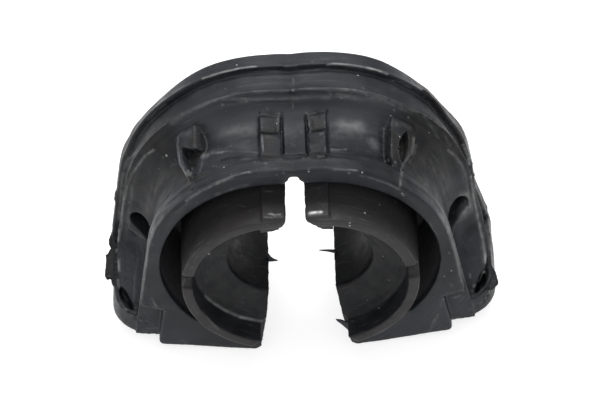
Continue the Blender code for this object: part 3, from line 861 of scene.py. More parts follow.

# %% [markdown]
# Marks on the collar.
# A used mould leaves pale ridges, dark creases, torn spots and brown stains, and these are what the eye knows
# a real piece by. Many marks are painted light and shade as well: pale ones are partly painted highlights
# along edges and ridges, and dark ones are painted shade in slots, creases and under overhangs. Each mark is
# a path on the skin with a width, a height, and how much it lightens, darkens or browns the rubber: width,
# height, pale, dark, brown, and points, in world millimetres. They are kept as plain numbers, so that a mark
# is easy to move. On the collar they are the white ends beside the split, partly torn rubber and partly
# painted highlight, and the pale edge of the mouth.

# %% Marks on the collar and its ends, left
marks = [
    (0.33, 0.12, 0.5, 0, 0, [(-22.7, -18.2, 35.8), (-22.6, -18.2, 35.7)]),
    (0.33, 0.12, 0.8, 0, 0, [(-24.6, -16.3, 29.9), (-24.5, -16.4, 29.8)]),
    # White spot on the thick end: partly torn rubber, partly painted highlight.
    (0.35, 0.15, 1.3, 0, 0, [(-5.5, -16.5, 49.8), (-4.5, -16.8, 49.8), (-3.2, -16.7, 49.7)]),
    (0.3, 0.12, 0.8, 0, 0, [(-6.4, -17.5, 49.9), (-4.9, -17.6, 49.7)]),
    (0.3, 0.1, 0.6, 0, 0, [(-5.1, -15.9, 49.8), (-4.3, -17.4, 49.7)]),
    (0.25, 0.08, 0.5, 0, 0, [(-6.5, -10.1, 49.8), (-4.8, -10.2, 49.7)]),
    (0.25, 0.06, 0.3, 0, 0, [(-12.4, -11.5, 47.5), (-10.7, -12.6, 48.1)]),
    (0.45, 0.06, 0.8, 0, 0, [(-21, -12.8, 19.9), (-19.4, -12.7, 17.4), (-17, -12.6, 14.7),
        (-13.9, -12.6, 12.2), (-10.7, -12.5, 10.8), (-9.2, -12.5, 10.3)]),
    (0.35, 0.06, 0.4, 0, 0, [(-11.8, -14, 10.9), (-9.6, -12, 7.4)]),
    (0.3, 0.1, 0.5, 0, 0, [(-24.8, -17.7, 33.2), (-24.6, -16.3, 29.9), (-25.3, -17.3, 29.1)]),
    (0.35, 0.06, 0.45, 0, 0, [(-21.4, -17.5, 20.5), (-20.1, -17.9, 17.9), (-18.5, -18.1, 15)]),
]
print("marks so far:", len(marks))

# %% Marks on the collar and its ends, right
marks += [
    (0.33, 0.12, 0.6, 0, 0, [(18.6, -11.5, 20.8), (18.8, -11.6, 20.7)]),
    # White spot on the thick end: partly torn rubber, partly painted highlight.
    (0.6, 0.12, 2, 0, 0, [(3, -16.8, 49.6), (4.2, -16.7, 49.7), (5.4, -16.7, 49.8)]),
    (0.25, 0.08, 0.5, 0, 0, [(3.7, -9.8, 49.7), (5.4, -9.9, 49.8)]),
    (0.3, 0.08, 0.5, 0, 0, [(10.3, -13.8, 10.4)]),
]
print("marks so far:", len(marks))

# %% [markdown]
# Marks on the front plate.
# The plate has a painted highlight along its upper edge, faint wipes where it was pulled from the mould, and
# scuffed feet.

# %% Marks on the front plate, left
marks += [
    (0.35, 0.1, 0.45, 0, 0, [(-32.4, -12, 19.2), (-32.1, -12, 17.5), (-31.6, -12, 16.2)]),
    (0.3, 0.08, 0.35, 0, 0, [(-31.9, -12, 15.6), (-31, -12, 15.4), (-29.8, -11.9, 14.3)]),
    # Painted highlight along the plate's upper edge.
    (0.55, 0.1, 0.7, 0, 0, [(-22.8, -11.9, 50), (-22.1, -11.9, 50.8), (-19.9, -11.9, 52.5),
        (-18.1, -11.9, 53.7), (-17, -11.8, 54.5), (-15.5, -11.8, 55.3), (-14, -11.8, 56.1),
        (-12.9, -11.6, 56.6)]),
    (0.35, 0.1, 0.6, 0, 0, [(-13.3, -11.5, 56.5), (-11.2, -11.4, 57), (-9.2, -11.2, 57.5)]),
    (0.35, 0.06, 0.45, 0, 0, [(-16.6, -12, 51.4), (-14, -11.9, 52.5), (-11.4, -11.9, 53.7),
        (-9.6, -11.9, 54.2)]),
    (0.33, 0.12, 0.4, 0, 0, [(-2.1, -12, 57.3), (-1.9, -12, 57.2)]),
    (0.33, 0.12, 0.8, 0, 0, [(-9.2, -11.4, 57.5), (-9.1, -11.5, 57.5)]),
    (0.33, 0.12, 0.3, 0, 0, [(-20.7, -12, 49.2), (-20.6, -12, 49.1)]),
    (0.33, 0.12, 0.4, 0, 0, [(-3.6, -12, 56.9), (-3.4, -12, 56.7)]),
    (0.35, 0, 0.35, 0, 0.2, [(-25.4, -11.9, 46.3), (-23.1, -11.9, 48.7), (-20.4, -11.9, 50.7)]),
    (0.5, -0.05, 0, 0.45, 0.2, [(-28.1, -11.8, 43.5), (-26.2, -11.8, 46.5), (-23.5, -11.8, 49.3)]),
]
print("marks so far:", len(marks))

# %% Marks on the front plate, right
marks += [
    (0.35, 0.08, 0.45, 0, 0, [(7.8, -11.7, 57.4), (10.7, -11.7, 57)]),
    (0.35, 0.1, 0.75, 0, 0, [(10.9, -11.7, 57), (12, -11.5, 56.8), (13.4, -11.5, 56.4)]),
    (0.4, 0.08, 0.5, 0, 0, [(14.2, -11.9, 55.1), (16.5, -12, 54.2), (18.5, -11.9, 52.9),
        (20.2, -11.9, 51.8), (22.2, -11.9, 50.1)]),
    (0.35, 0.12, 0.55, 0, 0, [(31.7, -9.6, 36.5), (32.1, -10.3, 34.7), (32.7, -10.9, 31.1),
        (33.3, -11.4, 27.8), (33.8, -11.7, 24), (34.3, -11.8, 19.9), (34.7, -9.1, 13.1)]),
    (0.4, 0.08, 0.3, 0, 0, [(29.7, -11.9, 13.8), (29.7, -11.9, 11.7)]),
    (0.4, 0.1, 0.45, 0, 0, [(29.1, -12, 9.1), (28.1, -12, 6.9), (27.4, -12, 4.9)]),
    (0.5, 0.04, 0.3, 0, 0, [(32.2, -11.9, 18.9), (32.3, -11.9, 17.5)]),
    (0.3, 0.12, 0.7, 0, 0, [(32, -11.9, 29.4), (32, -11.9, 28.8)]),
    (0.3, -0.2, 0, 0.7, 0, [(29.9, -7.6, 24.5), (30.2, -11.8, 27.7)]),
    (0.3, 0.08, 0.4, 0, 0, [(28.2, -11.9, 39.4), (28.6, -11.9, 37), (29.6, -11.9, 35.4)]),
    (0.3, -0.1, 0, 0.5, 0, [(27.1, -11.9, 41.6), (27.3, -11.9, 41.1)]),
    (0.33, 0.12, 0.8, 0, 0, [(11.7, -11.9, 56.2), (11.9, -12, 56.1)]),
    (0.33, 0.12, 1, 0, 0, [(22.8, -11.9, 48.5), (23, -11.9, 48.3)]),
    (0.33, 0.12, 0.3, 0, 0, [(24.3, -11.2, 49.1), (24.5, -11.2, 49)]),
    (0.33, 0.12, 0.5, 0, 0, [(3.2, -11.6, 57.7), (3.4, -11.7, 57.7)]),
    (0.33, 0.12, 0.5, 0, 0, [(7, -11.2, 57.7), (7.1, -11.3, 57.6)]),
    (0.35, 0.06, 0.35, 0, 0, [(27.1, -11.9, 3.5), (27.8, -11.9, 5.5), (28.7, -11.9, 6.8)]),
]
print("marks so far:", len(marks))

# %% [markdown]
# Marks on the rim.
# The mould parted along the rim, so it has the longest ridges, pale in part with painted highlight; the dark
# crease beside them and the dark patches on the rim are painted shade.

# %% Marks on the rim of the plate, left
marks += [
    (0.35, 0.12, 0.6, 0, 0, [(-32.1, -11.6, 34.5), (-33, -9.7, 29.7), (-33.9, -9.1, 24.6),
        (-34.8, -9.4, 19), (-35.4, -9, 14)]),
    (0.35, 0.15, 0.9, 0, 0, [(-38.8, -6.8, 9.9), (-38.6, -6.9, 9.7)]),
    (0.25, 0.08, 0.3, 0, 0, [(-40.1, -5.1, 10), (-38.8, -6.9, 9.8)]),
    (0.55, 0.08, 0.4, 0, 0, [(-31.2, -11.9, 36.4), (-30.9, -9.9, 39), (-30.2, -9, 40.8), (-29, -8.9, 43.3),
        (-27.1, -9.5, 46)]),
    # Painted shade in the crease where the rim steps down into the groove.
    (0.3, -0.2, 0, 0.9, 0, [(-21.5, -10.5, 51.6), (-20.5, -10.7, 52.4), (-18.5, -11, 53.9)]),
    (0.3, 0.1, 0.3, 0, 0, [(-10.9, -7.2, 57.1), (-9, -7.5, 57.5)]),
    (0.3, 0.08, 0.5, 0, 0, [(-17, -5.5, 53.3), (-16.1, -7.4, 55.3)]),
    (0.33, 0.12, 0.7, 0, 0, [(-8.1, -8.7, 57.7), (-8, -8.9, 57.7)]),
    (0.33, 0.12, 0.5, 0, 0, [(-5.8, -9.4, 57.9), (-5.6, -9.5, 57.9)]),
    (0.3, -0.2, 0, 0.8, 0, [(-6, -8.3, 58.4), (-4.5, -8.4, 58.1)]),
    (1.8, 0, 0, 0.2, 0.8, [(-25.4, 0.3, 45.7), (-23.5, -2.2, 47.8), (-22, -7.2, 51.9), (-19.8, -7.8, 53.1),
        (-17.6, -7.5, 54.5)]),
    (0.3, 0.1, 0.6, 0, 0, [(-22.3, -5.3, 52.3), (-22.2, -6.8, 52.2)]),
    (0.3, 0.08, 0.4, 0, 0, [(-22.9, -5.2, 48.6), (-22.1, -8.3, 51.4)]),
    # Painted shade on the rim.
    (2.2, 0, 0, 0.4, 0.3, [(-23, -9.2, 50.4), (-20.3, -8.1, 52.7), (-17.2, -7.8, 54.8)]),
    (0.5, -0.05, 0, 0.5, 0, [(-36.4, -7.8, 9.6), (-36.3, -8.9, 8.2)]),
    (0.35, 0.06, 0.35, 0, 0, [(-34.3, -9.1, 5.7), (-32.1, -9.1, 5.7)]),
    (0.5, -0.28, 0, 0.35, 0, [(-38.4, -7.1, 9.6)]),
    (0.5, -0.28, 0, 0.35, 0, [(-36.7, -8.3, 8.6)]),
    (0.5, -0.28, 0, 0.35, 0, [(-34.6, -8.9, 7.7)]),
    (0.45, 0.2, 0.4, 0, 0, [(-38.9, -6.7, 10)]),
    (0.45, 0.2, 0.4, 0, 0, [(-37.6, -8.1, 9.3)]),
    (0.45, 0.2, 0.4, 0, 0, [(-35.6, -9.2, 8.6)]),
    (0.35, 0.1, 0.5, 0, 0, [(-31.6, -7.5, 36.6), (-31.9, -9, 36.1), (-32.5, -8.9, 33.4)]),
    (0.35, 0, 0.35, 0, 0.2, [(-29.5, -11.2, 42), (-28.3, -10.7, 44.2), (-26.6, -10.6, 46.5)]),
]
print("marks so far:", len(marks))

# %% Marks on the rim of the plate, right
marks += [
    # Painted shade along the step down into the groove.
    (0.45, -0.2, 0, 0.9, 0, [(1.6, -7.1, 57.6), (5.4, -8, 58.3), (7.9, -5.6, 56.1), (11.1, -7, 57),
        (14.2, -5.4, 54.5), (16.7, -5.2, 53.3), (19.2, -4.2, 51.7)]),
    (0.35, -0.2, 0, 0.8, 0, [(19.2, -4.1, 51.7), (20.2, -5.5, 52.2), (21.9, -6.7, 52.2), (22.7, -7, 51.5)]),
    (0.3, 0.1, 0.5, 0, 0, [(5.4, -8.7, 58.1), (6.6, -8.6, 58.1)]),
    (0.3, -0.15, 0, 0.7, 0, [(5.6, -8.2, 58.2), (7.5, -7.1, 57.6)]),
    (0.35, 0.1, 0.4, 0, 0, [(30, -11.9, 14), (32.2, -9.1, 10.9), (34, -9.1, 11.6)]),
    (0.33, 0.12, 0.35, 0, 0, [(6.2, -9.8, 57.7), (6.3, -9.9, 57.7)]),
    (0.33, 0.12, 0.5, 0, 0, [(2.2, -8.5, 57.9), (2.4, -8.7, 57.9)]),
    (0.25, 0.08, 0.5, 0, 0, [(7, -6.6, 58.9), (7, -7.9, 58.7)]),
    (1.2, 0, 0, 0.25, 0.5, [(5.1, -3.2, 58.7), (5.2, -6.6, 58.6)]),
    (0.5, 0.12, 0.5, 0, 0.3, [(24, -3.9, 50.5), (23.2, -3.5, 48.2), (22.7, -7.8, 50.8), (22.4, -10, 51),
        (22.3, -11.6, 51)]),
    (1.4, 0, 0, 0.65, 0.1, [(19.5, -7.8, 53.3), (20.3, -9.1, 52.7), (21.1, -10.8, 52.1)]),
    (1.4, 0, 0, 0.65, 0.1, [(23.4, -7.6, 50), (24.2, -9.3, 49.2), (24.8, -10.5, 48.6)]),
    (0.35, 0.06, 0.4, 0, 0, [(32, -9.3, 4.2), (34.2, -9.1, 4.2)]),
    (0.55, -0.3, 0, 0.35, 0, [(39.2, -6.9, 7.1)]),
    (0.55, -0.3, 0, 0.35, 0, [(37.6, -8.1, 7)]),
    (0.5, 0.22, 0.35, 0, 0, [(39.5, -6.9, 7.8)]),
    (0.5, 0.22, 0.35, 0, 0, [(38.3, -8, 7.4)]),
    (0.5, 0.22, 0.35, 0, 0, [(36, -9.1, 7.1)]),
]
print("marks so far:", len(marks))

# %% [markdown]
# Marks on the tabs.
# The tabs stand proud: their top edges get painted highlights, and the slots beside them and the tabs' upper
# blocks get painted shade.

# %% Marks on the tabs, left
marks += [
    (0.33, 0.12, 0.5, 0, 0, [(-5.1, 5.4, 58.6), (-4.9, 5.3, 58.5)]),
    # Painted shade in the slot beside the tab.
    (0.34, -0.25, 0, 1, 0, [(-6.7, 5, 57.9), (-6.7, 0.5, 57.4), (-6.7, -6.5, 58.4)]),
    (0.22, 0.1, 0.85, 0, 0, [(-2.5, 4.7, 57.8), (-2.8, 3.6, 57.5), (-2.9, 2.1, 57.2)]),
    (0.25, 0.1, 0.9, 0, 0, [(-6.3, -3, 59), (-6.2, -4.6, 58.9), (-6.1, -6.8, 58.8)]),
    (0.22, 0.05, 0.4, 0, 0, [(-6.4, 4.7, 57.8), (-6.4, 0.9, 57.6), (-6.3, -2.6, 58.9)]),
    (0.3, -0.1, 0, 0.6, 0, [(-3.2, 2.2, 57.2), (-3.2, 0.5, 56.8)]),
    (1.5, 0, 0, 0.2, 0.8, [(-5, -3.1, 58.7), (-4.9, -5.6, 58.7), (-4.9, -7.8, 58.5)]),
    (0.6, 0, 0.3, 0, 0.3, [(-5.2, -2.7, 58.8), (-4.2, -2.6, 58.6)]),
    (1.9, 0, 0, 0.35, 0, [(-4.5, 3.8, 57.7), (-4.6, 0.6, 57.2)]),
    (0.9, 0, 0, 0.45, 0.2, [(-5.7, 0.2, 57.3), (-3.8, 0.2, 56.9)]),
    (0.25, -0.1, 0, 0.6, 0, [(-6.1, 0.1, 57.4), (-4.6, -0.1, 57.1), (-3.2, 0.5, 56.8)]),
    # Painted shade on the tab's upper block.
    (1.9, 0, 0, 0.95, 0, [(-4.5, 4.1, 57.7), (-4.4, 0.6, 57.2)]),
]
print("marks so far:", len(marks))

# %% Marks on the tabs, right
marks += [
    (0.35, 0.08, 0.5, 0, 0, [(8.1, -4.8, 56.2), (9.6, -4.9, 56), (11.3, -4.6, 55.6)]),
    (0.25, 0.1, 0.9, 0, 0, [(3.2, 4.5, 57.8), (3.4, 3.5, 57.4), (3.6, 1.9, 57.3), (3.6, 1, 57.1)]),
    (0.22, 0.05, 0.7, 0, 0, [(3.8, -0.1, 57), (3.9, -6.3, 58.5)]),
    (0.38, -0.25, 0, 1, 0, [(2.9, 4.1, 57.2), (3, 1.8, 55.9), (3.3, -3.2, 58.2), (3.5, -6.7, 58.2)]),
    (0.38, -0.25, 0, 1, 0, [(7.6, 4.9, 57.6), (7.4, 0.2, 56.7), (7.5, -2.9, 56.3), (7.7, -4.8, 56.1)]),
    (0.3, -0.1, 0, 0.6, 0, [(4, 2.4, 57.4), (4.3, 0.4, 57), (4.7, -0.6, 57.1)]),
    (0.3, 0.12, 0.7, 0, 0, [(5.8, -2.7, 58.9), (6.6, -2.7, 59)]),
    (0.22, -0.12, 0, 0.7, 0, [(6.3, -3.2, 58.9), (6.6, -3.3, 58.9)]),
    (0.25, 0.08, 0.45, 0, 0, [(7, 1.5, 57.8), (7.1, -2, 58.8)]),
    (1.9, 0, 0, 0.4, 0, [(5.4, 3.1, 57.8), (5.6, 0.4, 57.3)]),
    (0.3, -0.1, 0, 0.5, 0.3, [(4.7, -0.6, 57.1), (5.8, -2, 58.6)]),
    # Painted shade on the tab's upper block.
    (1.9, 0, 0, 0.95, 0, [(5.2, 3.7, 57.8), (5.5, 0.1, 57.3)]),
]
print("marks so far:", len(marks))

# %% [markdown]
# Marks on the webs.
# Each web has pale lips round its pocket with painted highlight, painted shade on its floor and its shadowed
# inner face, and a brown stain.
# The two sides differ, so each has rows of its own.

# %% Marks on the webs, left
marks += [
    (0.8, 0.15, 0.75, 0, 0, [(-19.2, -1.4, 52.2), (-18.3, -1.6, 52.6)]),
    (0.35, 0.08, 0.6, 0, 0, [(-24.5, 4.9, 51.8), (-24.7, 3.1, 51.2), (-24.4, 0.2, 51.2),
        (-24.1, -2.4, 50.8), (-23.3, -4.8, 51.5), (-22.3, -6.6, 52.2)]),
    (0.8, 0, 0.35, 0, 0, [(-24, 5.3, 52.2), (-21.8, 4.1, 53.6)]),
    (1.6, 0, 0, 0.75, 0.5, [(-22.9, 1.4, 50.7), (-22.1, -0.3, 50), (-21.7, -1.7, 50.2)]),
    (0.7, -0.1, 0, 0.6, 0.1, [(-21.7, -3.6, 50.4), (-21, -2.1, 50.7)]),
    (1.8, 0, 0, 0.7, 0.1, [(-19.1, 2.7, 53.1), (-18.5, 1.8, 52.8)]),
    (1.6, 0, 0, 0.3, 0.9, [(-21.4, 2, 53.7), (-21.2, 0, 53.4)]),
    (0.3, 0.08, 0.4, 0, 0, [(-21.6, -3, 50.3), (-21.5, -6.2, 52.4), (-22, -6.9, 52.2)]),
    # Painted shade on the web's shadowed inner face.
    (1.4, 0, 0, 1, 0, [(-20.2, 4.6, 53.9), (-19.7, 2.7, 53.5), (-19.2, 0.8, 53)]),
    (1.5, 0, 0, 0.7, 0, [(-18.9, 3.5, 53.2), (-18.3, 1.8, 52.7), (-18.5, 0.1, 52.5)]),
    (2, 0, 0, 0.35, 0.1, [(-27.6, 5.3, 46.7), (-25.9, 5.8, 49.9)]),
    (0.4, 0, 0.3, 0, 0, [(-26.7, 2.9, 44.8), (-24.9, 2, 46.6)]),
    (0.9, 0, 0, 1, 0, [(-20.3, 5.7, 54.4), (-19.5, 4, 53.6), (-18.9, 1.7, 52.9), (-18.8, -0.2, 52.5)]),
    (0.9, 0, 0, 0.9, 0.4, [(-20.7, 5, 54.2), (-20.3, 2.5, 53.8), (-20.1, -0.1, 53.4)]),
    (1.3, 0, 0, 0.6, 0.9, [(-22.5, 1.5, 50.2), (-20.7, -0.8, 51), (-21.4, -3, 50.4)]),
    (0.8, 0, 0, 0.7, 0.8, [(-23.5, 1.5, 51.6), (-21.5, 0.5, 51.9), (-19.1, -0.4, 52.7)]),
    (2.2, 0, 0, 0.55, 0, [(-18.4, 4.1, 53.7), (-17.8, 2.3, 53.1), (-17.6, 0.2, 52.9)]),
    (1, 0, 0, 1, 0, [(-19, 5.1, 54.5), (-18.5, 3.8, 53.4), (-18.4, 2.1, 52.8), (-18.5, 0.1, 52.5)]),
    (2, 0, 0, 1, 0, [(-19, 4.6, 53.8), (-18.5, 3, 53), (-18.7, 1, 52.8)]),
    (1.4, 0, 0, 0.8, 0, [(-19.7, 3.7, 53.6), (-19.4, 1.2, 53.2)]),
]
print("marks so far:", len(marks))

# %% Marks on the webs, right
marks += [
    (1.6, 0, 0.5, 0, 0, [(17, -0.7, 53.2), (17.4, -1.7, 53)]),
    (0.33, 0.12, 1, 0, 0, [(19.2, 3.5, 52.7), (19.4, 3.5, 52.6)]),
    (0.33, 0.12, 0.6, 0, 0, [(20.8, -2, 53.6), (21, -2.2, 53.6)]),
    (0.33, 0.12, 1, 0, 0, [(21.5, -6.2, 52.6), (21.6, -6.3, 52.6)]),
    (0.33, 0.12, 0.7, 0, 0, [(20, -5.2, 52.3), (20.2, -5.4, 52.3)]),
    (1.2, 0, 0.25, 0, 0.4, [(21.2, 3.8, 53.9), (22.9, 4.5, 52.8)]),
    (0.5, 0.1, 0.45, 0, 0, [(22.2, 4.1, 53.4), (22.1, 3.6, 53.3)]),
    (1.5, 0, 0, 0.3, 0.9, [(21.5, 1, 53.5), (21.9, -1.7, 53), (21.5, -4.5, 52.9)]),
    (0.9, 0, 0, 0.25, 0.9, [(23.4, 3.4, 50.5), (23.3, 0.5, 49.5), (23.1, -3.7, 50.4)]),
    (0.3, -0.15, 0, 0.9, 0, [(22.6, 1.1, 49.8), (22.5, -4.8, 52.3)]),
    (0.6, 0.08, 0.35, 0, 0.5, [(25.6, 2, 50.2), (25.5, 0.6, 49.8), (25.1, -1.1, 49.9), (24.5, -0.1, 46.9)]),
    (0.6, 0, 0.5, 0, 0.8, [(25.7, 2.4, 50.1), (26, 3.7, 46.5)]),
    (0.6, -0.15, 0, 0.9, 0, [(20.6, 2.7, 53.3), (20.7, 0.6, 53.4)]),
    (0.4, -0.15, 0, 0.9, 0, [(26.2, 5.3, 50.4), (26.1, 3.7, 49.9)]),
    (1.2, 0, 0, 0.6, 0.1, [(18.5, 1.1, 52.3), (19.9, 2.7, 52.4)]),
    (0.5, -0.1, 0, 0.6, 0.2, [(19.6, 1.4, 52), (20.1, -0.4, 52.6), (20.1, -2.4, 52.6)]),
    # Painted shade on the web's shadowed inner face.
    (1.1, 0, 0, 0.9, 0, [(20.2, 2.8, 52.9), (20, -0.3, 52.5), (19.9, -3.6, 52.4), (20.2, -5.6, 52.1)]),
    (0.4, 0, 0, 0.7, 0, [(19.2, -3.9, 51.8), (20.4, -6, 52.1)]),
    (1, 0, 0.25, 0, 0.2, [(21.4, 3.9, 53.8), (23.3, 4.7, 52.5), (25, 4.6, 51.2)]),
    (0.7, 0, 0.28, 0, 0, [(10.8, 0.5, 55.7), (16.9, 1.9, 53.5)]),
    (0.7, 0, 0.2, 0, 0, [(9.7, -1.5, 55.9), (16, -0.3, 53.8)]),
    (1.4, 0, 0, 0.45, 1, [(25, 2.2, 50.6), (25.2, 0.4, 50.1), (24.8, -1.8, 49.7)]),
    (0.4, 0.05, 0.45, 0, 0.4, [(26.1, 3.7, 46.4), (25.8, 2.5, 45.9), (25.1, 0.5, 46.2),
        (24.4, -1.5, 46.9)]),
    (1, 0, 0, 0.9, 0.2, [(19.3, 4, 52.9), (18.7, 0.7, 52.1), (18.8, -3.2, 52)]),
    (1.6, 0, 0, 0.55, 1, [(25.1, 2.6, 50.6), (25.3, 0.4, 50.1), (24.9, -1.6, 49.8)]),
    (0.5, 0, 0, 0.7, 0, [(21, 4.7, 54), (20.6, -0.6, 53.4), (20.5, -4.8, 53)]),
    (0.5, 0, 0, 0.5, 0.3, [(18.6, 3.4, 53), (18.5, 0, 52.3), (18.6, -3.9, 52.2)]),
]
print("marks so far:", len(marks))

# %% [markdown]
# Marks in the groove.
# Where the sweep catches the light these marks paint soft highlights, and painted shade lies in the hollows
# between them. Most of these marks are colour more than shape.

# %% Marks in the groove and its sweep, left
marks += [
    (0.35, -0.12, 0, 0.5, 0, [(-31.4, 1.4, 30.1), (-29, -7.3, 42.8), (-27.3, -3.9, 42.8),
        (-25.6, -3.2, 45.2), (-24.2, -3.1, 46.9)]),
    # Painted shade in the crease at the back of the rim.
    (0.5, -0.2, 0, 0.95, 0, [(-15.3, -4.5, 54), (-13.5, -4.8, 54.8), (-11.2, -5.1, 55.5),
        (-7, -7.1, 57.7)]),
    (0.3, -0.1, 0, 0.5, 0, [(-16.1, -4.8, 53.7), (-14.8, -4.9, 54.2)]),
    (0.5, 0.08, 0.6, 0, 0, [(-17.2, -1.5, 53.2), (-15, -2.5, 54.4)]),
    (0.35, 0.05, 0.35, 0, 0, [(-14.8, -2.4, 54.5), (-11.1, -3.7, 55.5), (-7.3, -4.8, 56.2)]),
    (0.3, -0.1, 0, 0.35, 0, [(-12.9, 6.7, 59.5), (-10.1, 6.5, 59.8), (-7.4, 6.2, 59.9), (-0.2, 6.2, 59.5)]),
    (0.3, -0.15, 0, 0.5, 0, [(-0.3, 7.2, 61.3), (-0.2, 6.3, 59.7)]),
    # Painted highlight where the sweep catches the light.
    (2.8, 0, 0.32, 0, 0, [(-13.6, 2.2, 55.1), (-11.5, 2.1, 55.7), (-8.9, 2.1, 56.2)]),
    (1.5, 0, 0.28, 0, 0, [(-12.8, -1.6, 55.1), (-9, -2.9, 56)]),
    (0.33, 0.12, 0.6, 0, 0, [(-9.5, 6.4, 60.1), (-9.3, 6.4, 60)]),
    (0.33, 0.12, 0.4, 0, 0, [(-28.2, 5, 45.5), (-28, 4.9, 45.5)]),
    (0.38, -0.25, 0, 1, 0, [(-2, 4.8, 57.7), (-2.2, 1.9, 55.6), (-2.4, -6, 57.9)]),
    (0.6, 0, 0.25, 0, 0, [(-13.7, 1.2, 55), (-9.8, 0.4, 55.9)]),
    (0.6, 0, 0.2, 0, 0, [(-14.6, 0.2, 54.6), (-9, -1.2, 56)]),
    (1.6, 0, 0, 0.35, 0.1, [(-26.8, -0.2, 43.8), (-29.3, -0.4, 39.4)]),
    (0.4, 0, 0.35, 0, 0, [(-14.3, 3.3, 55.3), (-11.5, 2.9, 55.9), (-8.5, 2.4, 56.4)]),
    (0.4, 0, 0.3, 0, 0, [(-14.1, 2, 54.9), (-11.1, 1.5, 55.7), (-8.1, 1, 56.2)]),
    (0.5, 0, 0.25, 0, 0, [(-17.6, -0.7, 52.9), (-15, -1.5, 54.3), (-11.1, -2.4, 55.6)]),
]
print("marks so far:", len(marks))

# %% Marks in the groove and its sweep, right
marks += [
    (0.3, 0.08, 0.35, 0, 0, [(0.4, 6, 59.3), (0.4, 5.4, 58.3)]),
    (0.35, 0.1, 0.45, 0, 0, [(14.1, 6.4, 58.9), (14.4, 6.3, 58.8)]),
    (0.35, 0.1, 0.45, 0, 0, [(10.7, 6.3, 59.8), (11, 6.3, 59.7)]),
    # Painted highlight where the sweep catches the light.
    (2.4, 0, 0.62, 0, 0, [(10.8, 1.9, 55.7), (12.5, 1.9, 55.4), (14.2, 2.1, 54.9)]),
    (1.2, 0, 0.28, 0, 0, [(8.9, -0.7, 56), (10.6, 2, 55.8)]),
    (1.5, 0, 0.25, 0, 0, [(-1.5, 0.7, 56.2), (1.7, 0.7, 56.3)]),
    (0.33, 0.12, 0.4, 0, 0, [(0.3, -3, 56), (0.5, -3.2, 56.1)]),
    (0.33, 0.12, 0.5, 0, 0, [(24.7, 6.4, 52.8), (24.8, 6.4, 52.6)]),
    (0.33, 0.12, 0.5, 0, 0, [(27.5, -4.1, 42.9), (27.6, -4, 42.6)]),
    (0.33, 0.12, 0.6, 0, 0, [(1.8, 0.7, 56.3), (2, 0.5, 56.3)]),
    (0.3, 0, 0.3, 0, 0.5, [(25.5, 1, 45.7), (26.7, 0.7, 44), (27.5, 0, 42.8)]),
    (1.6, 0, 0, 0.35, 0.3, [(26.4, 2.4, 45), (27.6, 1.1, 42.8), (29.2, 0.9, 39.7)]),
    (0.7, 0, 0.3, 0, 0, [(10.6, 2.4, 55.9), (14.9, 3.1, 54.9)]),
    (0.3, 0, 0.3, 0, 0, [(28.9, 3.6, 41.9), (30, 2.4, 38), (30.7, 1.2, 34.8)]),
    (0.3, 0, 0.25, 0, 0, [(31.2, 5.7, 42.5), (32.3, 5.3, 37.8), (32.8, 4.8, 33.8)]),
    (0.9, 0, 0, 0.35, 0, [(28.1, 5.9, 47.7), (29.3, 5.3, 44.5), (30.2, 4.7, 41.2)]),
    (1.1, 0, 0, 0.3, 0.1, [(26.2, -1.6, 44.6), (27.8, -2.9, 42.1)]),
]
print("marks so far:", len(marks))

# %% [markdown]
# Marks low on the sides.
# Round the side pocket and the hook the rubber was squeezed and folded, which left short ridges with gaps in
# painted shade. Painted highlights run along the crest of the hook and the corners of the flange, and broad
# painted light lies on the side of the groove.

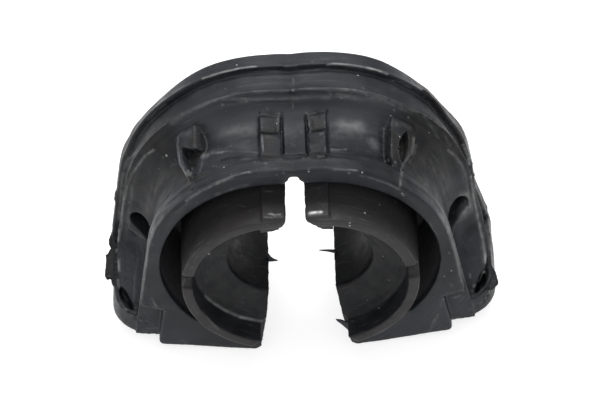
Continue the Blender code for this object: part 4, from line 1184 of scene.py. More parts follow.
# %% Marks on the low sides and the flange, left
marks += [
    # Painted highlight along the crest of the hook.
    (0.55, 0.1, 0.9, 0, 0, [(-34.6, 11.6, 40.3), (-36.5, 13.8, 35.5), (-37.5, 13.8, 32.3),
        (-38.2, 13.8, 29.1), (-38.6, 13.8, 25.8), (-39, 13.8, 22.6), (-39.5, 13.8, 19.3), (-39.9, 13.8, 16),
        (-39.6, 7.1, 20.3), (-39.9, 6.2, 18), (-40.8, 10.2, 10.2), (-40.1, 2.9, 15.2), (-40.1, 0.8, 14.2),
        (-40.5, 1.4, 10.3), (-40.2, -0.8, 10.1), (-39.7, -0.9, 7.8), (-38.8, -2.1, 7.4)]),
    (0.3, 0.1, 0.6, 0, 0, [(-36.9, 6.1, 21.6), (-36, 5.6, 21), (-34.8, 4.6, 20.4), (-34.1, 3.9, 20.8)]),
    (0.3, -0.2, 0, 0.7, 0, [(-37.8, 7, 22.9), (-37.1, 6.3, 21.1), (-35.9, 5.5, 20)]),
    (0.35, 0.06, 0.3, 0, 0, [(-35.9, 4.8, 18.3), (-35.8, 2.5, 15.7), (-36.7, -1.2, 13.6), (-37, -5, 10.7)]),
    (0.35, 0.06, 0.6, 0, 0, [(-41.4, -0.7, 9.7), (-41.6, -2.8, 7.4)]),
    (0.33, 0.12, 0.6, 0, 0, [(-36.7, 6.7, 29.7), (-36.5, 6.6, 29.7)]),
    (1, 0, 0, 0.8, 0, [(-43.1, 6.1, 9.7), (-43, 3.4, 9.7)]),
    (0.7, 0, 0.3, 0, 0, [(-36.8, 13.8, 33.6), (-37.8, 13.8, 29.7), (-38.4, 13.8, 25.8), (-39, 13.9, 20.8),
        (-39.1, 7.2, 21.8)]),
    (1.2, 0, 0.14, 0, 0, [(-36.9, 6.6, 26.6), (-36.7, 6.2, 23.7)]),
    (0.45, 0.22, 0.2, 0.2, 0, [(-40.7, 13.5, 10.4)]),
    (0.4, -0.2, 0, 0.5, 0, [(-40.7, 12.8, 10.1)]),
    (0.45, 0.22, 0.2, 0.2, 0, [(-40.8, 11.9, 10.3)]),
    (0.4, -0.2, 0, 0.5, 0, [(-40.8, 11.2, 10)]),
    (0.45, 0.22, 0.2, 0.2, 0, [(-41, 9.6, 10.2)]),
    (0.4, -0.2, 0, 0.5, 0, [(-41, 8.9, 10)]),
    (0.45, 0.22, 0.2, 0.2, 0, [(-41, 6.7, 10.2)]),
    (0.4, -0.2, 0, 0.5, 0, [(-41.1, 6, 9.9)]),
    (0.45, 0.22, 0.2, 0.2, 0, [(-41.1, 3.8, 10.2)]),
    (0.4, -0.2, 0, 0.5, 0, [(-41.1, 3.1, 9.9)]),
    (0.45, 0.22, 0.2, 0.2, 0, [(-41, 0.8, 10.3)]),
    (0.4, -0.2, 0, 0.5, 0, [(-41, 0.1, 10.1)]),
    (0.5, -0.28, 0, 0.35, 0, [(-39.5, -5.6, 9.9)]),
]
print("marks so far:", len(marks))

# %% Marks on the low sides and the flange, right
marks += [
    (0.45, 0.1, 0.6, 0, 0, [(32.9, 6.2, 41.8), (34.3, 6.7, 39.4), (35.6, 6.9, 36.5), (36.3, 6.9, 33.5),
        (36.8, 6.9, 30.2), (36.8, 6.5, 27.4), (36.5, 6.3, 24), (35.9, 5.6, 22.2), (35, 4.8, 20.7),
        (34.1, 3.9, 20.8)]),
    # Painted highlight along the crest of the hook.
    (0.5, 0.12, 1, 0, 0, [(36.2, 13.8, 34.9), (37, 13.8, 31.6), (37.5, 13.8, 28.3), (37.6, 7.1, 31.8),
        (37.8, 7, 28), (38.1, 6.9, 24.5), (38.6, 6.8, 20.4), (39.1, 5.6, 17.4), (39.5, 3.5, 15.7),
        (39.8, 1.2, 14.5), (39.9, -1.3, 13.3), (39.5, -1.1, 9.7), (38.6, -2.2, 8.4), (37.2, -5.5, 10.3)]),
    (0.35, -0.18, 0, 0.8, 0, [(37.4, 13.9, 29.8), (37.9, 14, 25.8), (38.1, 7.2, 27.4), (38.6, 7.1, 22.9),
        (39.1, 6.6, 18.9), (39.6, 4.9, 16.5), (40.2, 2.6, 15.1), (40.8, 2.8, 10.1)]),
    (0.3, -0.15, 0, 0.7, 0, [(36.6, 6.9, 30.9), (37.1, 7, 28.8), (37.3, 7, 26.2)]),
    (0.45, 0.06, 0.45, 0, 0, [(37.9, 14.3, 29.3), (38.8, 16.1, 19.8), (39.7, 13.9, 15), (40.4, 13, 10.2),
        (40.9, 9.1, 10.2), (41.1, 4.9, 10.1)]),
    (0.35, 0.06, 0.35, 0, 0, [(35.4, 8.4, 23.1), (35.1, 5.5, 22.1)]),
    (0.35, 0.12, 0.6, 0, 0, [(36.4, -3.6, 12.1), (36.4, -4.2, 11.6)]),
    (0.3, -0.2, 0, 0.8, 0, [(27.8, 5.6, 17.2), (28.2, 3.9, 18.1)]),
    (0.9, 0, 0.3, 0, 0, [(37.6, 14, 29.7), (38.2, 7.3, 28.9), (38.7, 7.2, 22.6), (39.2, 6.2, 18.1),
        (39.7, 3.9, 15.9)]),
    (0.8, 0, 0.28, 0, 0, [(39.4, 3.2, 15.5), (39.5, 0.8, 14.2), (39.6, -1.3, 13.3)]),
    (1.5, 0, 0.22, 0, 0, [(36, 7.8, 24), (35.9, 5.6, 22.2)]),
    (0.3, 0.1, 0.6, 0, 0, [(37.1, 6.4, 25.1), (36.9, 6, 22.7), (36.1, 5.6, 20.9), (35, 4.8, 20.6),
        (33.9, 3.7, 21)]),
    # Broad painted light on the side of the groove.
    (2.2, 0, 1, 0, 0, [(35.9, 6.2, 26.8), (36.1, 6.8, 23.5), (36, 5.7, 22.2)]),
    (1.2, 0, 0.4, 0, 0, [(35.5, 6, 28.3), (35.9, 8.1, 24.1)]),
    (0.45, -0.25, 0, 0.5, 0, [(39.8, 17.1, 15.2)]),
    (0.55, 0.25, 0.25, 0.2, 0, [(40.2, 16.5, 14.6)]),
    (0.45, -0.25, 0, 0.5, 0, [(40.1, 15.7, 14.4)]),
    (0.55, 0.25, 0.25, 0.2, 0, [(40.4, 14.9, 14.1)]),
    (0.45, -0.25, 0, 0.5, 0, [(40.4, 14.6, 13.3)]),
    (0.55, 0.25, 0.25, 0.2, 0, [(40.7, 14, 12.7)]),
    (0.45, -0.25, 0, 0.5, 0, [(40.7, 14, 11.6)]),
    (0.55, 0.25, 0.25, 0.2, 0, [(41, 13.7, 10.7)]),
    (0.45, -0.25, 0, 0.5, 0, [(40.9, 13.5, 9.9)]),
    (0.55, 0.25, 0.25, 0.2, 0, [(41.2, 11.9, 10.1)]),
    (0.45, -0.25, 0, 0.5, 0, [(41.2, 11.4, 9.5)]),
    (0.55, 0.25, 0.25, 0.2, 0, [(41.4, 9.7, 10)]),
    (0.45, -0.25, 0, 0.5, 0, [(41.3, 8.9, 9.7)]),
    (0.55, 0.25, 0.25, 0.2, 0, [(41.5, 7.6, 9.3)]),
    (0.45, -0.25, 0, 0.5, 0, [(41.5, 7, 8.9)]),
    (0.55, -0.3, 0, 0.35, 0, [(40.8, -5.8, 9.5)]),
    (0.55, -0.3, 0, 0.35, 0, [(39.9, -6.1, 7.8)]),
    (0.5, 0.22, 0.35, 0, 0, [(40.4, -5.8, 8.5)]),
    (0.35, 0.08, 0.5, 0, 0, [(33.4, 6.3, 21.3), (34.5, 7.1, 22), (35.2, 8, 22.8)]),
    (0.35, 0.08, 0.55, 0, 0, [(34.6, 4.4, 20.4), (36.1, 5.6, 20.3), (36.9, 6, 22.4), (37, 6.4, 24.9)]),
    (0.8, 0, 0, 0.7, 0.3, [(32.9, 5.5, 21), (33.8, 6.2, 21.4), (34.3, 7.3, 21.8)]),
]
print("marks so far:", len(marks))

# %% [markdown]
# Marks on the bead and the band.
# The bead of the crest has a broken painted highlight along it, with painted shade beside it, and the band
# behind it has small dents.

# %% Marks on the bead and the band, left
marks += [
    # Painted highlight along the bead.
    (0.42, 0.1, 0.7, 0, 0, [(-30, 6.2, 46.6), (-31.9, 6.7, 44.6), (-33.8, 6.8, 41.4), (-35.6, 7, 37.8),
        (-36.5, 7, 34.9), (-37.1, 7.1, 32.6), (-37.7, 7.1, 30), (-38.3, 7.1, 26.8), (-38.7, 7.1, 23.5),
        (-39.1, 6.9, 20.5)]),
    # Painted shade beside the bead.
    (0.4, -0.15, 0, 0.6, 0, [(-31.3, 6.9, 45.9), (-33.7, 7.2, 43.5), (-35.4, 7.4, 40.6), (-36.5, 7.3, 37.1),
        (-37.3, 7.3, 34), (-38.5, 13.9, 23.8), (-39, 13.9, 20.5), (-39, 7.4, 23.3)]),
    (0.8, 0, 0.3, 0, 0, [(-36.6, 7.2, 36.3), (-35.9, 6.9, 34.7), (-35.9, 6.4, 31.9)]),
    (0.45, 0.1, 0.5, 0, 0, [(-23.4, 7.1, 55.9), (-21.6, 7.1, 57.1), (-19.3, 7.1, 58.4), (-17.1, 7.1, 59.6),
        (-15.4, 7.2, 60.3)]),
    (0.35, 0.08, 0.4, 0, 0, [(-13.6, 7.4, 61.1), (-12.4, 8.5, 60.5), (-10, 8.4, 61), (-7.2, 7.4, 62.1),
        (-0.4, 7.2, 61.8)]),
    (0.3, 0.05, 0.3, 0, 0, [(-14.5, 7.1, 60.2), (-10.1, 6.7, 60.2), (-6, 6.5, 60.5), (-1, 6.4, 60.2)]),
    (0.33, 0.12, 0.6, 0, 0, [(-14.6, 6.7, 59.2), (-14.5, 6.6, 59.1)]),
    (1, 0, 0.32, 0, 0, [(-25.6, 7.1, 53.8), (-23.8, 7.1, 55.4), (-21.6, 7.1, 57.1), (-18.7, 7, 58.7),
        (-16.3, 7.1, 59.9), (-13.9, 7.3, 60.9), (-11.5, 8.2, 60.8)]),
    (0.7, 0, 0.25, 0, 0, [(-10.7, 6.7, 60.1), (-6, 6.5, 60.5)]),
    (0.5, 0, 0.4, 0, 0, [(-12.4, 8.7, 60.4), (-9.4, 8.1, 61.3), (-5.9, 7.2, 62)]),
    (0.35, 0.08, 0.5, 0, 0, [(-13, 7, 60.5), (-10.1, 6.9, 60.6), (-8.2, 6.7, 60.5)]),
]
print("marks so far:", len(marks))

# %% Marks on the bead and the band, right
marks += [
    (0.35, 0.12, 0.35, 0, 0, [(0.7, 10.8, 61.1), (0.6, 7.1, 61.8)]),
    (0.4, 0.1, 0.5, 0, 0, [(2.1, 7.4, 62.1), (6.4, 7.1, 62), (11.7, 7.4, 61.6), (14.4, 7.5, 60.8),
        (15.6, 7.1, 60.1), (16.9, 7, 59.2), (18.9, 7.1, 58.4), (21, 7.1, 57.3), (22.7, 7.1, 56.2),
        (24.8, 7.1, 54.5), (26.9, 7.3, 53.1)]),
    (0.35, 0.1, 0.45, 0, 0, [(8.4, 6.8, 60.8), (8.7, 6.7, 60.6)]),
    (0.35, 0.1, 0.45, 0, 0, [(9.9, 6.8, 60.6), (10.2, 6.8, 60.5)]),
    (0.35, 0.1, 0.45, 0, 0, [(11.6, 6.5, 59.8), (11.9, 6.5, 59.7)]),
    (0.35, 0.1, 0.45, 0, 0, [(12.7, 7, 60.5), (13, 7, 60.4)]),
    (0.35, 0.1, 0.45, 0, 0, [(13.5, 6.7, 59.5), (13.8, 6.7, 59.4)]),
    # Painted shade beside the bead.
    (0.4, -0.18, 0, 0.8, 0, [(26.5, 9, 52.1), (27.7, 9.2, 50.9), (29.8, 9.2, 48.5), (31.4, 7.4, 48),
        (32.8, 7.2, 45.3), (34, 7.1, 42.1)]),
    (0.3, 0.15, 0.9, 0, 0, [(15.4, 9.5, 59.5), (15.6, 9.1, 59.4)]),
    (0.33, 0.12, 0.7, 0, 0, [(21.8, 6.5, 55.1), (21.9, 6.5, 55)]),
    (0.33, 0.12, 0.7, 0, 0, [(25, 7.1, 54.2), (25.1, 7.1, 54.1)]),
    (1.2, 0, 0.34, 0, 0, [(14.4, 7.3, 60.7), (16.8, 7, 59.1), (20, 7, 57.7), (23.1, 7.1, 55.6),
        (25.6, 7.1, 53.8)]),
    (0.8, 0, 0.3, 0, 0, [(-1.6, 6.4, 60.3), (2, 6.6, 60.3), (8.4, 6.3, 60.1)]),
    (0.35, 0, 0.3, 0, 0, [(30.6, 9.2, 47.6), (32.2, 7.1, 46), (33.4, 6.8, 42.4)]),
    (0.35, 0, 0.3, 0, 0, [(28.1, 7.3, 51.8), (29.7, 6.9, 48.4), (30.9, 6.4, 45.7)]),
    (0.4, 0.1, 0.8, 0, 0, [(0.7, 11.4, 61), (0.6, 7.1, 61.9)]),
    (0.6, -0.1, 0, 0.6, 0, [(0, 7.2, 61.3), (0.8, 6.9, 60.6), (2, 6.6, 60.3)]),
    (0.4, 0.1, 0.55, 0, 0, [(8, 7, 61.5), (10.6, 7.1, 61.4), (13.1, 7.2, 61), (15.2, 7.1, 60.1)]),
    (0.9, 0, 0.35, 0, 0, [(10.1, 6.7, 60.4), (12.6, 6.7, 59.7), (15.1, 6.6, 58.8)]),
    (0.35, 0.08, 0.6, 0, 0, [(17, 6.9, 58.7), (19.8, 7, 57.5), (22.2, 7, 55.7), (24.3, 7, 54)]),
]
print("marks so far:", len(marks))

# %% [markdown]
# Marks on the back lip.
# The lip is the outermost edge; it is chipped in places, with a painted highlight along it in short stretches
# and painted shade under its overhang.

# %% Marks on the back lip, left
marks += [
    # Painted highlight along the lip's front edge.
    (0.38, 0.12, 1.15, 0, 0, [(-18.6, 14.3, 59.6), (-17, 14.2, 60.3), (-14.8, 14.3, 61.1),
        (-12.7, 14.2, 61.7), (-10.5, 14.4, 62.1), (-8.4, 14.3, 62.4), (-7.1, 14.2, 62.6)]),
    (0.25, 0.06, 0.35, 0, 0, [(-5.5, 13.9, 61.3), (-1.4, 13.8, 61)]),
    # Painted shade under the lip's overhang.
    (0.7, -0.1, 0, 0.6, 0, [(-22.4, 14, 57.1), (-20.4, 14, 58.2), (-18, 14, 59.2), (-14.9, 14, 60.4),
        (-10.6, 14, 61.5), (-5.8, 14, 61.8), (-1.4, 13.9, 61.6)]),
    (0.35, 0.05, 0.35, 0, 0, [(-31.2, 13.9, 47.8), (-29.3, 13.8, 50.3), (-27, 13.8, 52.6)]),
    (0.35, -0.08, 0, 0.4, 0, [(-27.8, 13, 50.8), (-25.7, 13.7, 52.6), (-23.4, 13.8, 54.6)]),
    (0.3, 0, 0.25, 0, 0, [(-15.9, 16.8, 60.5), (-11.6, 17.4, 61.7), (-7, 17.1, 62.4)]),
]
print("marks so far:", len(marks))

# %% Marks on the back lip, right
marks += [
    (0.3, 0.08, 0.5, 0, 0, [(-1.1, 14, 62.3), (1.4, 13.9, 62.3)]),
    # Painted highlight along the lip's front edge.
    (0.42, 0.12, 1.2, 0, 0, [(8.2, 13.9, 62.2), (9.3, 14.1, 62.3), (11.9, 14.1, 61.9), (14, 14.1, 61.4),
        (16.3, 14.1, 60.6), (18.4, 14.1, 59.7), (20.7, 14, 58.3)]),
    # Painted shade under the lip's overhang.
    (0.7, -0.1, 0, 0.6, 0, [(2.2, 13.9, 61.5), (7.6, 14, 61.5), (10.7, 14, 61), (13.3, 13.9, 60.2),
        (16.2, 14, 59.2), (19.1, 13.9, 57.6), (21.9, 14, 56.5)]),
    (0.25, 0.08, 0.4, 0, 0, [(3.1, 13.6, 61), (7.3, 13.8, 61.1)]),
    (0.3, 0.08, 0.45, 0, 0, [(21.6, 13.9, 56.3), (23.5, 13.9, 55.6), (25.4, 13.9, 53.7)]),
    (0.33, 0.12, 0.5, 0, 0, [(4.9, 14.8, 62.7), (5, 14.7, 62.7)]),
    (0.33, 0.12, 0.6, 0, 0, [(28.3, 13.9, 50.7), (28.5, 13.9, 50.6)]),
    (0.3, 0, 0.3, 0, 0, [(5.1, 14.9, 62.6), (8.7, 15.8, 62.3), (13, 16.2, 61.5)]),
]
print("marks so far:", len(marks))

# %% [markdown]
# From the table into the skin.
# The distance from a point of the skin to the nearest stretch of a path says how strongly the mark
# shows there. It could be painted in Blender by hand, but then it would be hard to correct. Noise
# breaks each mark up, so that none looks drawn with a pen, and a limit keeps crossing ridges low.

# %% How near each point is to a path
def near_path(points, path, width):
    # 1 on the path, 0 at the width and beyond. Only points in the box round the path are measured.
    path = np.array(path)
    inside = np.all((points > path.min(axis=0) - width) & (points < path.max(axis=0) + width), axis=1)
    found = np.nonzero(inside)[0]
    some = points[found]
    nearest = np.full(len(found), 1e6)
    if len(path) == 1:
        nearest = np.linalg.norm(some - path[0], axis=1)
    for a, b in zip(path[:-1], path[1:]):
        line = b - a
        share = np.clip(((some - a) @ line) / max(line @ line, 1e-9), 0.0, 1.0)
        nearest = np.minimum(nearest, np.linalg.norm(some - a - share[:, None] * line, axis=1))
    return found, eased(1.0 - nearest / width)


print("points on the first mark:", len(near_path(spots, marks[0][-1], marks[0][0])[0]))

# %% Draw the marks into the skin
soft_reach = 1.25
deepest_push, highest_push = -0.3, 0.25
# Pale holds pale marks and painted highlights; dark holds mostly painted shade.
pale, dark, brown = np.zeros(count), np.zeros(count), np.zeros(count)
mark_push = np.zeros(count)
ragged = 0.72 + 0.42 * speckle(spots, 0.8, 21) + 0.25 * speckle(spots, 2.5, 22)
for width, rise, paleness, darkness, brownness, path in marks:
    found, share = near_path(spots, path, width * soft_reach)
    share = share * np.clip(ragged[found], 0.25, 1.25)
    pale[found] = np.maximum(pale[found], paleness * share)
    dark[found] = np.maximum(dark[found], darkness * share)
    brown[found] = np.maximum(brown[found], brownness * share)
    mark_push[found] += rise * share
spots = spots + normals * np.clip(mark_push, deepest_push, highest_push)[:, None]
print("marks:", len(marks), "points touched:", int(np.count_nonzero(pale + dark + brown)))

# %% [markdown]
# Painted light and shade, and tone. Broad parts of the rubber get painted light and shade: the sweep of the
# groove is lit over the crown and shaded on its shoulders, the bore and the deep collar under the plate's rim
# are in painted shade, and the walls of the hollow get painted light. Soft random clouds are added over the
# body. One value for each point holds that, from -1, nearly black, over 0, plain rubber, to 2, dull grey. A
# part is picked by its depth, its angle round the bore or its height, with soft ends, so that no tone has a
# hard border.

# %% Soft zones: the body, the sweep, the lip, the low side and the right half
def zone(values, low, high, blur):
    return eased((values - low) / blur + 0.5) * eased((high - values) / blur + 0.5)


angle_round = np.degrees(turn_angle)
right_hand = eased(spots[:, 0] / 4.0 + 0.5)
on_body = eased((from_axis - void_radius) / 0.8)
in_sweep = on_body * zone(depth, 19.5, 27.0, 2.5)
on_lip = on_body * eased((depth - 27.0) / 1.5)
low_side = eased((6.0 - above_axis) / 8.0) * eased((above_axis + 24.0) / 2.0)
print("share of the points in the sweep:", round(float(in_sweep.mean()), 3))

# %% Painted light and shade on the sweep, the lip and the rim: lit over the crown, shaded on the shoulders, the rim, the groove floor and the tabs
painted_light_and_tone = 0.75 * in_sweep * eased((angle_round - 42.0) / 16.0)
painted_light_and_tone -= (0.75 + 0.25 * right_hand) * in_sweep * zone(angle_round, 4.0, 42.0, 10.0)
painted_light_and_tone -= (0.45 - 0.55 * right_hand) * in_sweep * zone(angle_round, -12.0, 4.0, 8.0)
painted_light_and_tone += 0.30 * on_lip * eased((angle_round - 42.0) / 15.0)
painted_light_and_tone -= 0.30 * on_lip * zone(angle_round, 0.0, 40.0, 12.0)
painted_light_and_tone -= 0.20 * on_body * eased((12.5 - depth) / 1.5)
groove_floor = on_body * zone(depth, 11.5, 19.0, 2.0) * zone(angle_round, 10.0, 50.0, 12.0)
painted_light_and_tone -= (0.20 + 0.45 * right_hand) * groove_floor
# Painted shade on the upper blocks of the tabs.
tab_blocks = zone(from_split, 3.0, 7.4, 0.6) * zone(depth, 16.8, 22.3, 0.8)
painted_light_and_tone -= 0.90 * tab_blocks * eased((angle_round - 68.0) / 5.0)
print("tone of the arch:", round(float(painted_light_and_tone.min()), 2), round(float(painted_light_and_tone.max()), 2))

# %% Painted light and shade on the low sides, the feet and the flange: light low on the back and the lower front, shade low on the outer feet
low_back = on_body * zone(depth, 14.0, 31.5, 2.0) * low_side * eased((-8.0 - angle_round) / 8.0)
painted_light_and_tone += (0.10 + 0.30 * right_hand) * low_back
painted_light_and_tone -= 0.40 * eased((-22.0 - above_axis) / 1.0) * eased((from_split - 26.0) / 2.0)
painted_light_and_tone += 0.30 * on_body * eased((-16.0 - above_axis) / 6.0) * eased((12.0 - depth) / 2.0)
print("tone of the body:", round(float(painted_light_and_tone.min()), 2), round(float(painted_light_and_tone.max()), 2))

# %% Painted light and shade in the bore, the hollow and on the collar: light on the hollow's walls, painted shadow on the deep collar
inside_bore = eased((collar_inner + 0.3 - from_axis) / 0.6)
on_collar = eased((collar_radius + 1.5 - from_axis) / 0.8)
deep_share = eased((depth - 10.0) / 5.0)
in_hollow = zone(from_axis, collar_radius - 0.5, void_radius + 0.5, 0.8)
in_hollow *= zone(depth, 7.7, void_back + 1.5, 1.5) * eased((from_split - 1.5) / 1.0)
# Painted shade in the bore, painted light on the walls of the hollow, and painted shadow of the plate's rim
# on the deep part of the collar.
painted_light_and_tone -= 0.80 * inside_bore
painted_light_and_tone += 2.0 * in_hollow * (1.0 - on_collar)
painted_light_and_tone += in_hollow * on_collar * (0.3 - 0.6 * deep_share)
# Painted light on the top of the ring.
ring_top = on_collar * (1.0 - inside_bore) * eased(above_axis / 6.0) * (1.0 - deep_share)
painted_light_and_tone += (0.15 + 0.35 * right_hand) * ring_top
# The most painted light in the hollow.
print("dustiest point in the hollow:", round(float((painted_light_and_tone * in_hollow).max()), 2))

# %% Painted shade on and round the thin films, and soft random clouds over the whole body
film_reach = 1.6
for normal_axis, level, outline in films.values():
    path = [(a, level, b) if normal_axis == "Y" else (a, b, level) for a, b in outline]
    found, share = near_path(spots, path, film_reach)
    dark[found] = np.maximum(dark[found], 0.75 * share)
    painted_light_and_tone[found] -= 0.5 * share
painted_light_and_tone += 0.35 * speckle(spots, 6.0, 31) * on_body
print("tone:", round(float(painted_light_and_tone.min()), 2), round(float(painted_light_and_tone.max()), 2))

# %% [markdown]
# Write the skin back.
# The numbers go back into the mesh, and each mask goes with them as an attribute that the material
# can read. A mesh as even as this would need a million faces, so flat parts are thinned out
# afterwards, and the front and the marks stay dense. A vertex group tells the modifier where.

# %% Write the points and masks back
skin_mesh.vertices.foreach_set("co", (spots * MM).ravel())
collar_share = zone(from_axis, collar_inner + 0.2, collar_radius + 1.8, 0.8)
collar_share *= eased((plate_setback + 14.0 - depth) / 4.0)
# The tone holds painted light and shade with soft random clouds; pale is partly painted highlight, and dark
# and the inward corners are mostly painted shade.
masks = {
    "edge": edge_mask, "hollow": inward_shade_mask, "warm": collar_share, "painted_light_and_tone": painted_light_and_tone,
    "pale": np.clip(pale, 0.0, 2.0), "dark": np.clip(dark, 0.0, 1.0), "brown": np.clip(brown, 0.0, 1.0),
}
for name, values in masks.items():
    layer = skin_mesh.attributes.new(name, "FLOAT", "POINT")
    layer.data.foreach_set("value", values.astype(np.float32))
skin_mesh.update()
print("masks:", list(masks))

# %% Thin out the flat parts
faces_kept = 0.2
least_freedom = 0.05
in_front = eased((15.0 - spots[:, 1]) / 6.0) * eased((spots[:, 2] - 2.0) / 3.0)
in_front *= from_axis > bore_radius + 1.5
marked = np.clip(pale + dark + brown, 0.0, 1.0)
freedom = 1.0 - 0.35 * in_front - 0.6 * marked * in_front
tenths = np.round(freedom * 10.0).astype(int)
loose = skin.vertex_groups.new(name="free to thin")
for step in np.unique(tenths):
    loose.add(np.nonzero(tenths == step)[0].tolist(), max(least_freedom, step / 10.0), "REPLACE")
thin = skin.modifiers.new("thin", "DECIMATE")
thin.vertex_group = loose.name
thin.vertex_group_factor = 1e-6
thin.ratio = faces_kept
thin.use_collapse_triangulate = True
thinned = evaluated(skin)
skin.modifiers.clear()
skin.data = thinned
print("after thinning, faces:", len(thinned.polygons))

# %% [markdown]
# Rubber.
# The rubber is nearly black, with a satin skin. What makes it look real is what is uneven: cloudy patches of
# sheen, a fine grain, pale dust specks, and paler edges. Each of those is a small node group with its own
# sockets, so that the rubber and its thin flash share them, and another part could take them over. In the
# helpers a source is a pair: a node, and which of its outputs is read. That way the code reads like a sum,
# and not like a list of wires.

# %% Helpers: put a value into a socket, and start a group
def put(tree, value, node, label):
    # The value is a plain number, or a source that is wired to the socket.
    if isinstance(value, tuple):
        tree.links.new(value[0].outputs[value[1]], node.inputs[label])
    else:
        node.inputs[label].default_value = value


def new_group(name, inputs, output):
    # Every socket here holds a number: the inputs with their first values, and one output.
    group = bpy.data.node_groups.new(name, "ShaderNodeTree")
    for label, value in inputs.items():
        socket = group.interface.new_socket(label, in_out="INPUT", socket_type="NodeSocketFloat")
        socket.default_value = value
    group.interface.new_socket(output, in_out="OUTPUT", socket_type="NodeSocketFloat")
    return group, group.nodes.new("NodeGroupInput"), group.nodes.new("NodeGroupOutput")


# %% Helpers: sums, bands and noise, each of which gives a source
def maths(tree, operation, a, b=None, clamp=False):
    node = tree.nodes.new("ShaderNodeMath")
    node.operation = operation
    node.use_clamp = clamp
    put(tree, a, node, 0)
    if b is not None:
        put(tree, b, node, 1)
    return node, "Value"


def band(tree, value, low, high, to_low=0.0, to_high=1.0):
    node = tree.nodes.new("ShaderNodeMapRange")
    node.interpolation_type = "SMOOTHSTEP"
    put(tree, value, node, "Value")
    for label, number in (("From Min", low), ("From Max", high), ("To Min", to_low), ("To Max", to_high)):
        put(tree, number, node, label)
    return node, "Result"


def place_on_piece(tree):
    return tree.nodes.new("ShaderNodeTexCoord"), "Object"


def noise(tree, scale, detail, roughness=0.5, place=None):
    node = tree.nodes.new("ShaderNodeTexNoise")
    put(tree, place or place_on_piece(tree), node, "Vector")
    put(tree, scale, node, "Scale")
    put(tree, detail, node, "Detail")
    put(tree, roughness, node, "Roughness")
    return node, "Fac"


# %% [markdown]
# Cloudy patches, dust and grain.
# Large soft noise makes the clouds. Dust is a speck in some of the cells of a Voronoi pattern, and
# the cell's own random colour says whether it has one and how large. Grain is two sizes of noise
# that are added, and it is read as a height.

# %% Group: cloudy patches
clouds, start, end = new_group("cloudy patches", {"Scale": 60.0}, "Patch")
cloud = noise(clouds, (start, "Scale"), 3.0, 0.55)
put(clouds, band(clouds, cloud, 0.35, 0.68), end, "Patch")
print("group:", clouds.name)

# %% Group: dust specks
specks, start, end = new_group("dust specks", {"Scale": 500.0, "Size": 0.12, "Share": 0.2}, "Speck")
cells = specks.nodes.new("ShaderNodeTexVoronoi")
put(specks, place_on_piece(specks), cells, "Vector")
put(specks, (start, "Scale"), cells, "Scale")
pick = specks.nodes.new("ShaderNodeSeparateColor")
put(specks, (cells, "Color"), pick, "Color")
chosen = maths(specks, "LESS_THAN", (pick, "Red"), (start, "Share"))
speck_size = maths(specks, "MULTIPLY", (pick, "Green"), (start, "Size"))
inside = maths(specks, "LESS_THAN", (cells, "Distance"), speck_size)
put(specks, maths(specks, "MULTIPLY", chosen, inside), end, "Speck")
print("group:", specks.name)

# %% Group: rubber grain, as a height
grain, start, end = new_group("rubber grain", {"Fine": 2200.0, "Coarse": 500.0}, "Height")
fine = noise(grain, (start, "Fine"), 2.0)
coarse = noise(grain, (start, "Coarse"), 3.0)
put(grain, maths(grain, "ADD", fine, coarse), end, "Height")
print("group:", grain.name)

# %% [markdown]
# Pale edges and streaks. An edge that stands out is made paler, never along its whole length, so noise breaks
# it up. The rubber also flowed round the arch as it filled the mould. To draw streaks that follow it, the
# group swings each point back to the closed half, turns it into an angle and a radius round the bore, and
# stretches a noise along the angle.

# %% Group: pale edges, broken up by noise
edge_paling, start, end = new_group("pale edges", {"Edge": 0.0, "Break": 260.0}, "Pale")
unbroken = band(edge_paling, noise(edge_paling, (start, "Break"), 3.0, 0.6), 0.38, 0.62)
put(edge_paling, maths(edge_paling, "MULTIPLY", (start, "Edge"), unbroken), end, "Pale")
print("group:", edge_paling.name)

# %% Group: streaks that follow the arch
streaks, start, end = new_group("streaks along the arch", {"Long": 90.0, "Fine": 900.0}, "Streak")
middle_radius = 28.0 * MM
here = streaks.nodes.new("ShaderNodeSeparateXYZ")
put(streaks, place_on_piece(streaks), here, "Vector")
outward = maths(streaks, "ABSOLUTE", (here, "X"))
upward = maths(streaks, "SUBTRACT", (here, "Z"), hinge_world * MM)
swung_x = maths(streaks, "ADD", maths(streaks, "MULTIPLY", outward, cos(open_angle)),
                maths(streaks, "MULTIPLY", upward, sin(open_angle)))
swung_z = maths(streaks, "SUBTRACT", maths(streaks, "MULTIPLY", upward, cos(open_angle)),
                maths(streaks, "MULTIPLY", outward, sin(open_angle)))
swung_z = maths(streaks, "ADD", swung_z, hinge_height * MM)
round_way = maths(streaks, "MULTIPLY", maths(streaks, "ARCTAN2", swung_z, swung_x), middle_radius)
radius = maths(streaks, "SQRT", maths(
    streaks, "ADD", maths(streaks, "POWER", swung_x, 2.0), maths(streaks, "POWER", swung_z, 2.0)))
stretched = streaks.nodes.new("ShaderNodeCombineXYZ")
for label, source, rate in (("X", round_way, "Long"), ("Y", (here, "Y"), "Fine"), ("Z", radius, "Fine")):
    put(streaks, maths(streaks, "MULTIPLY", source, (start, rate)), stretched, label)
streak_noise = noise(streaks, 1.0, 3.0, place=(stretched, "Vector"))
put(streaks, band(streaks, streak_noise, 0.30, 0.72), end, "Streak")
print("group:", streaks.name)

# %% [markdown]
# The black rubber, layer by layer.
# The colour starts as two blacks that the clouds and streaks mix. Each further layer is blended over it:
# first the painted light and shade of broad parts, then brown stains, pale edges and painted shade in corners
# and creases, then scratches, pale marks with painted highlights and torn spots, and dust last. The specular
# level is low, because the skin is dull, and the same everywhere, so it is set on the shader itself.

# %% Helpers for the material itself
def placed(tree, group, **values):
    node = tree.nodes.new("ShaderNodeGroup")
    node.node_tree = group
    for label, value in values.items():
        put(tree, value, node, label)
    return node, 0


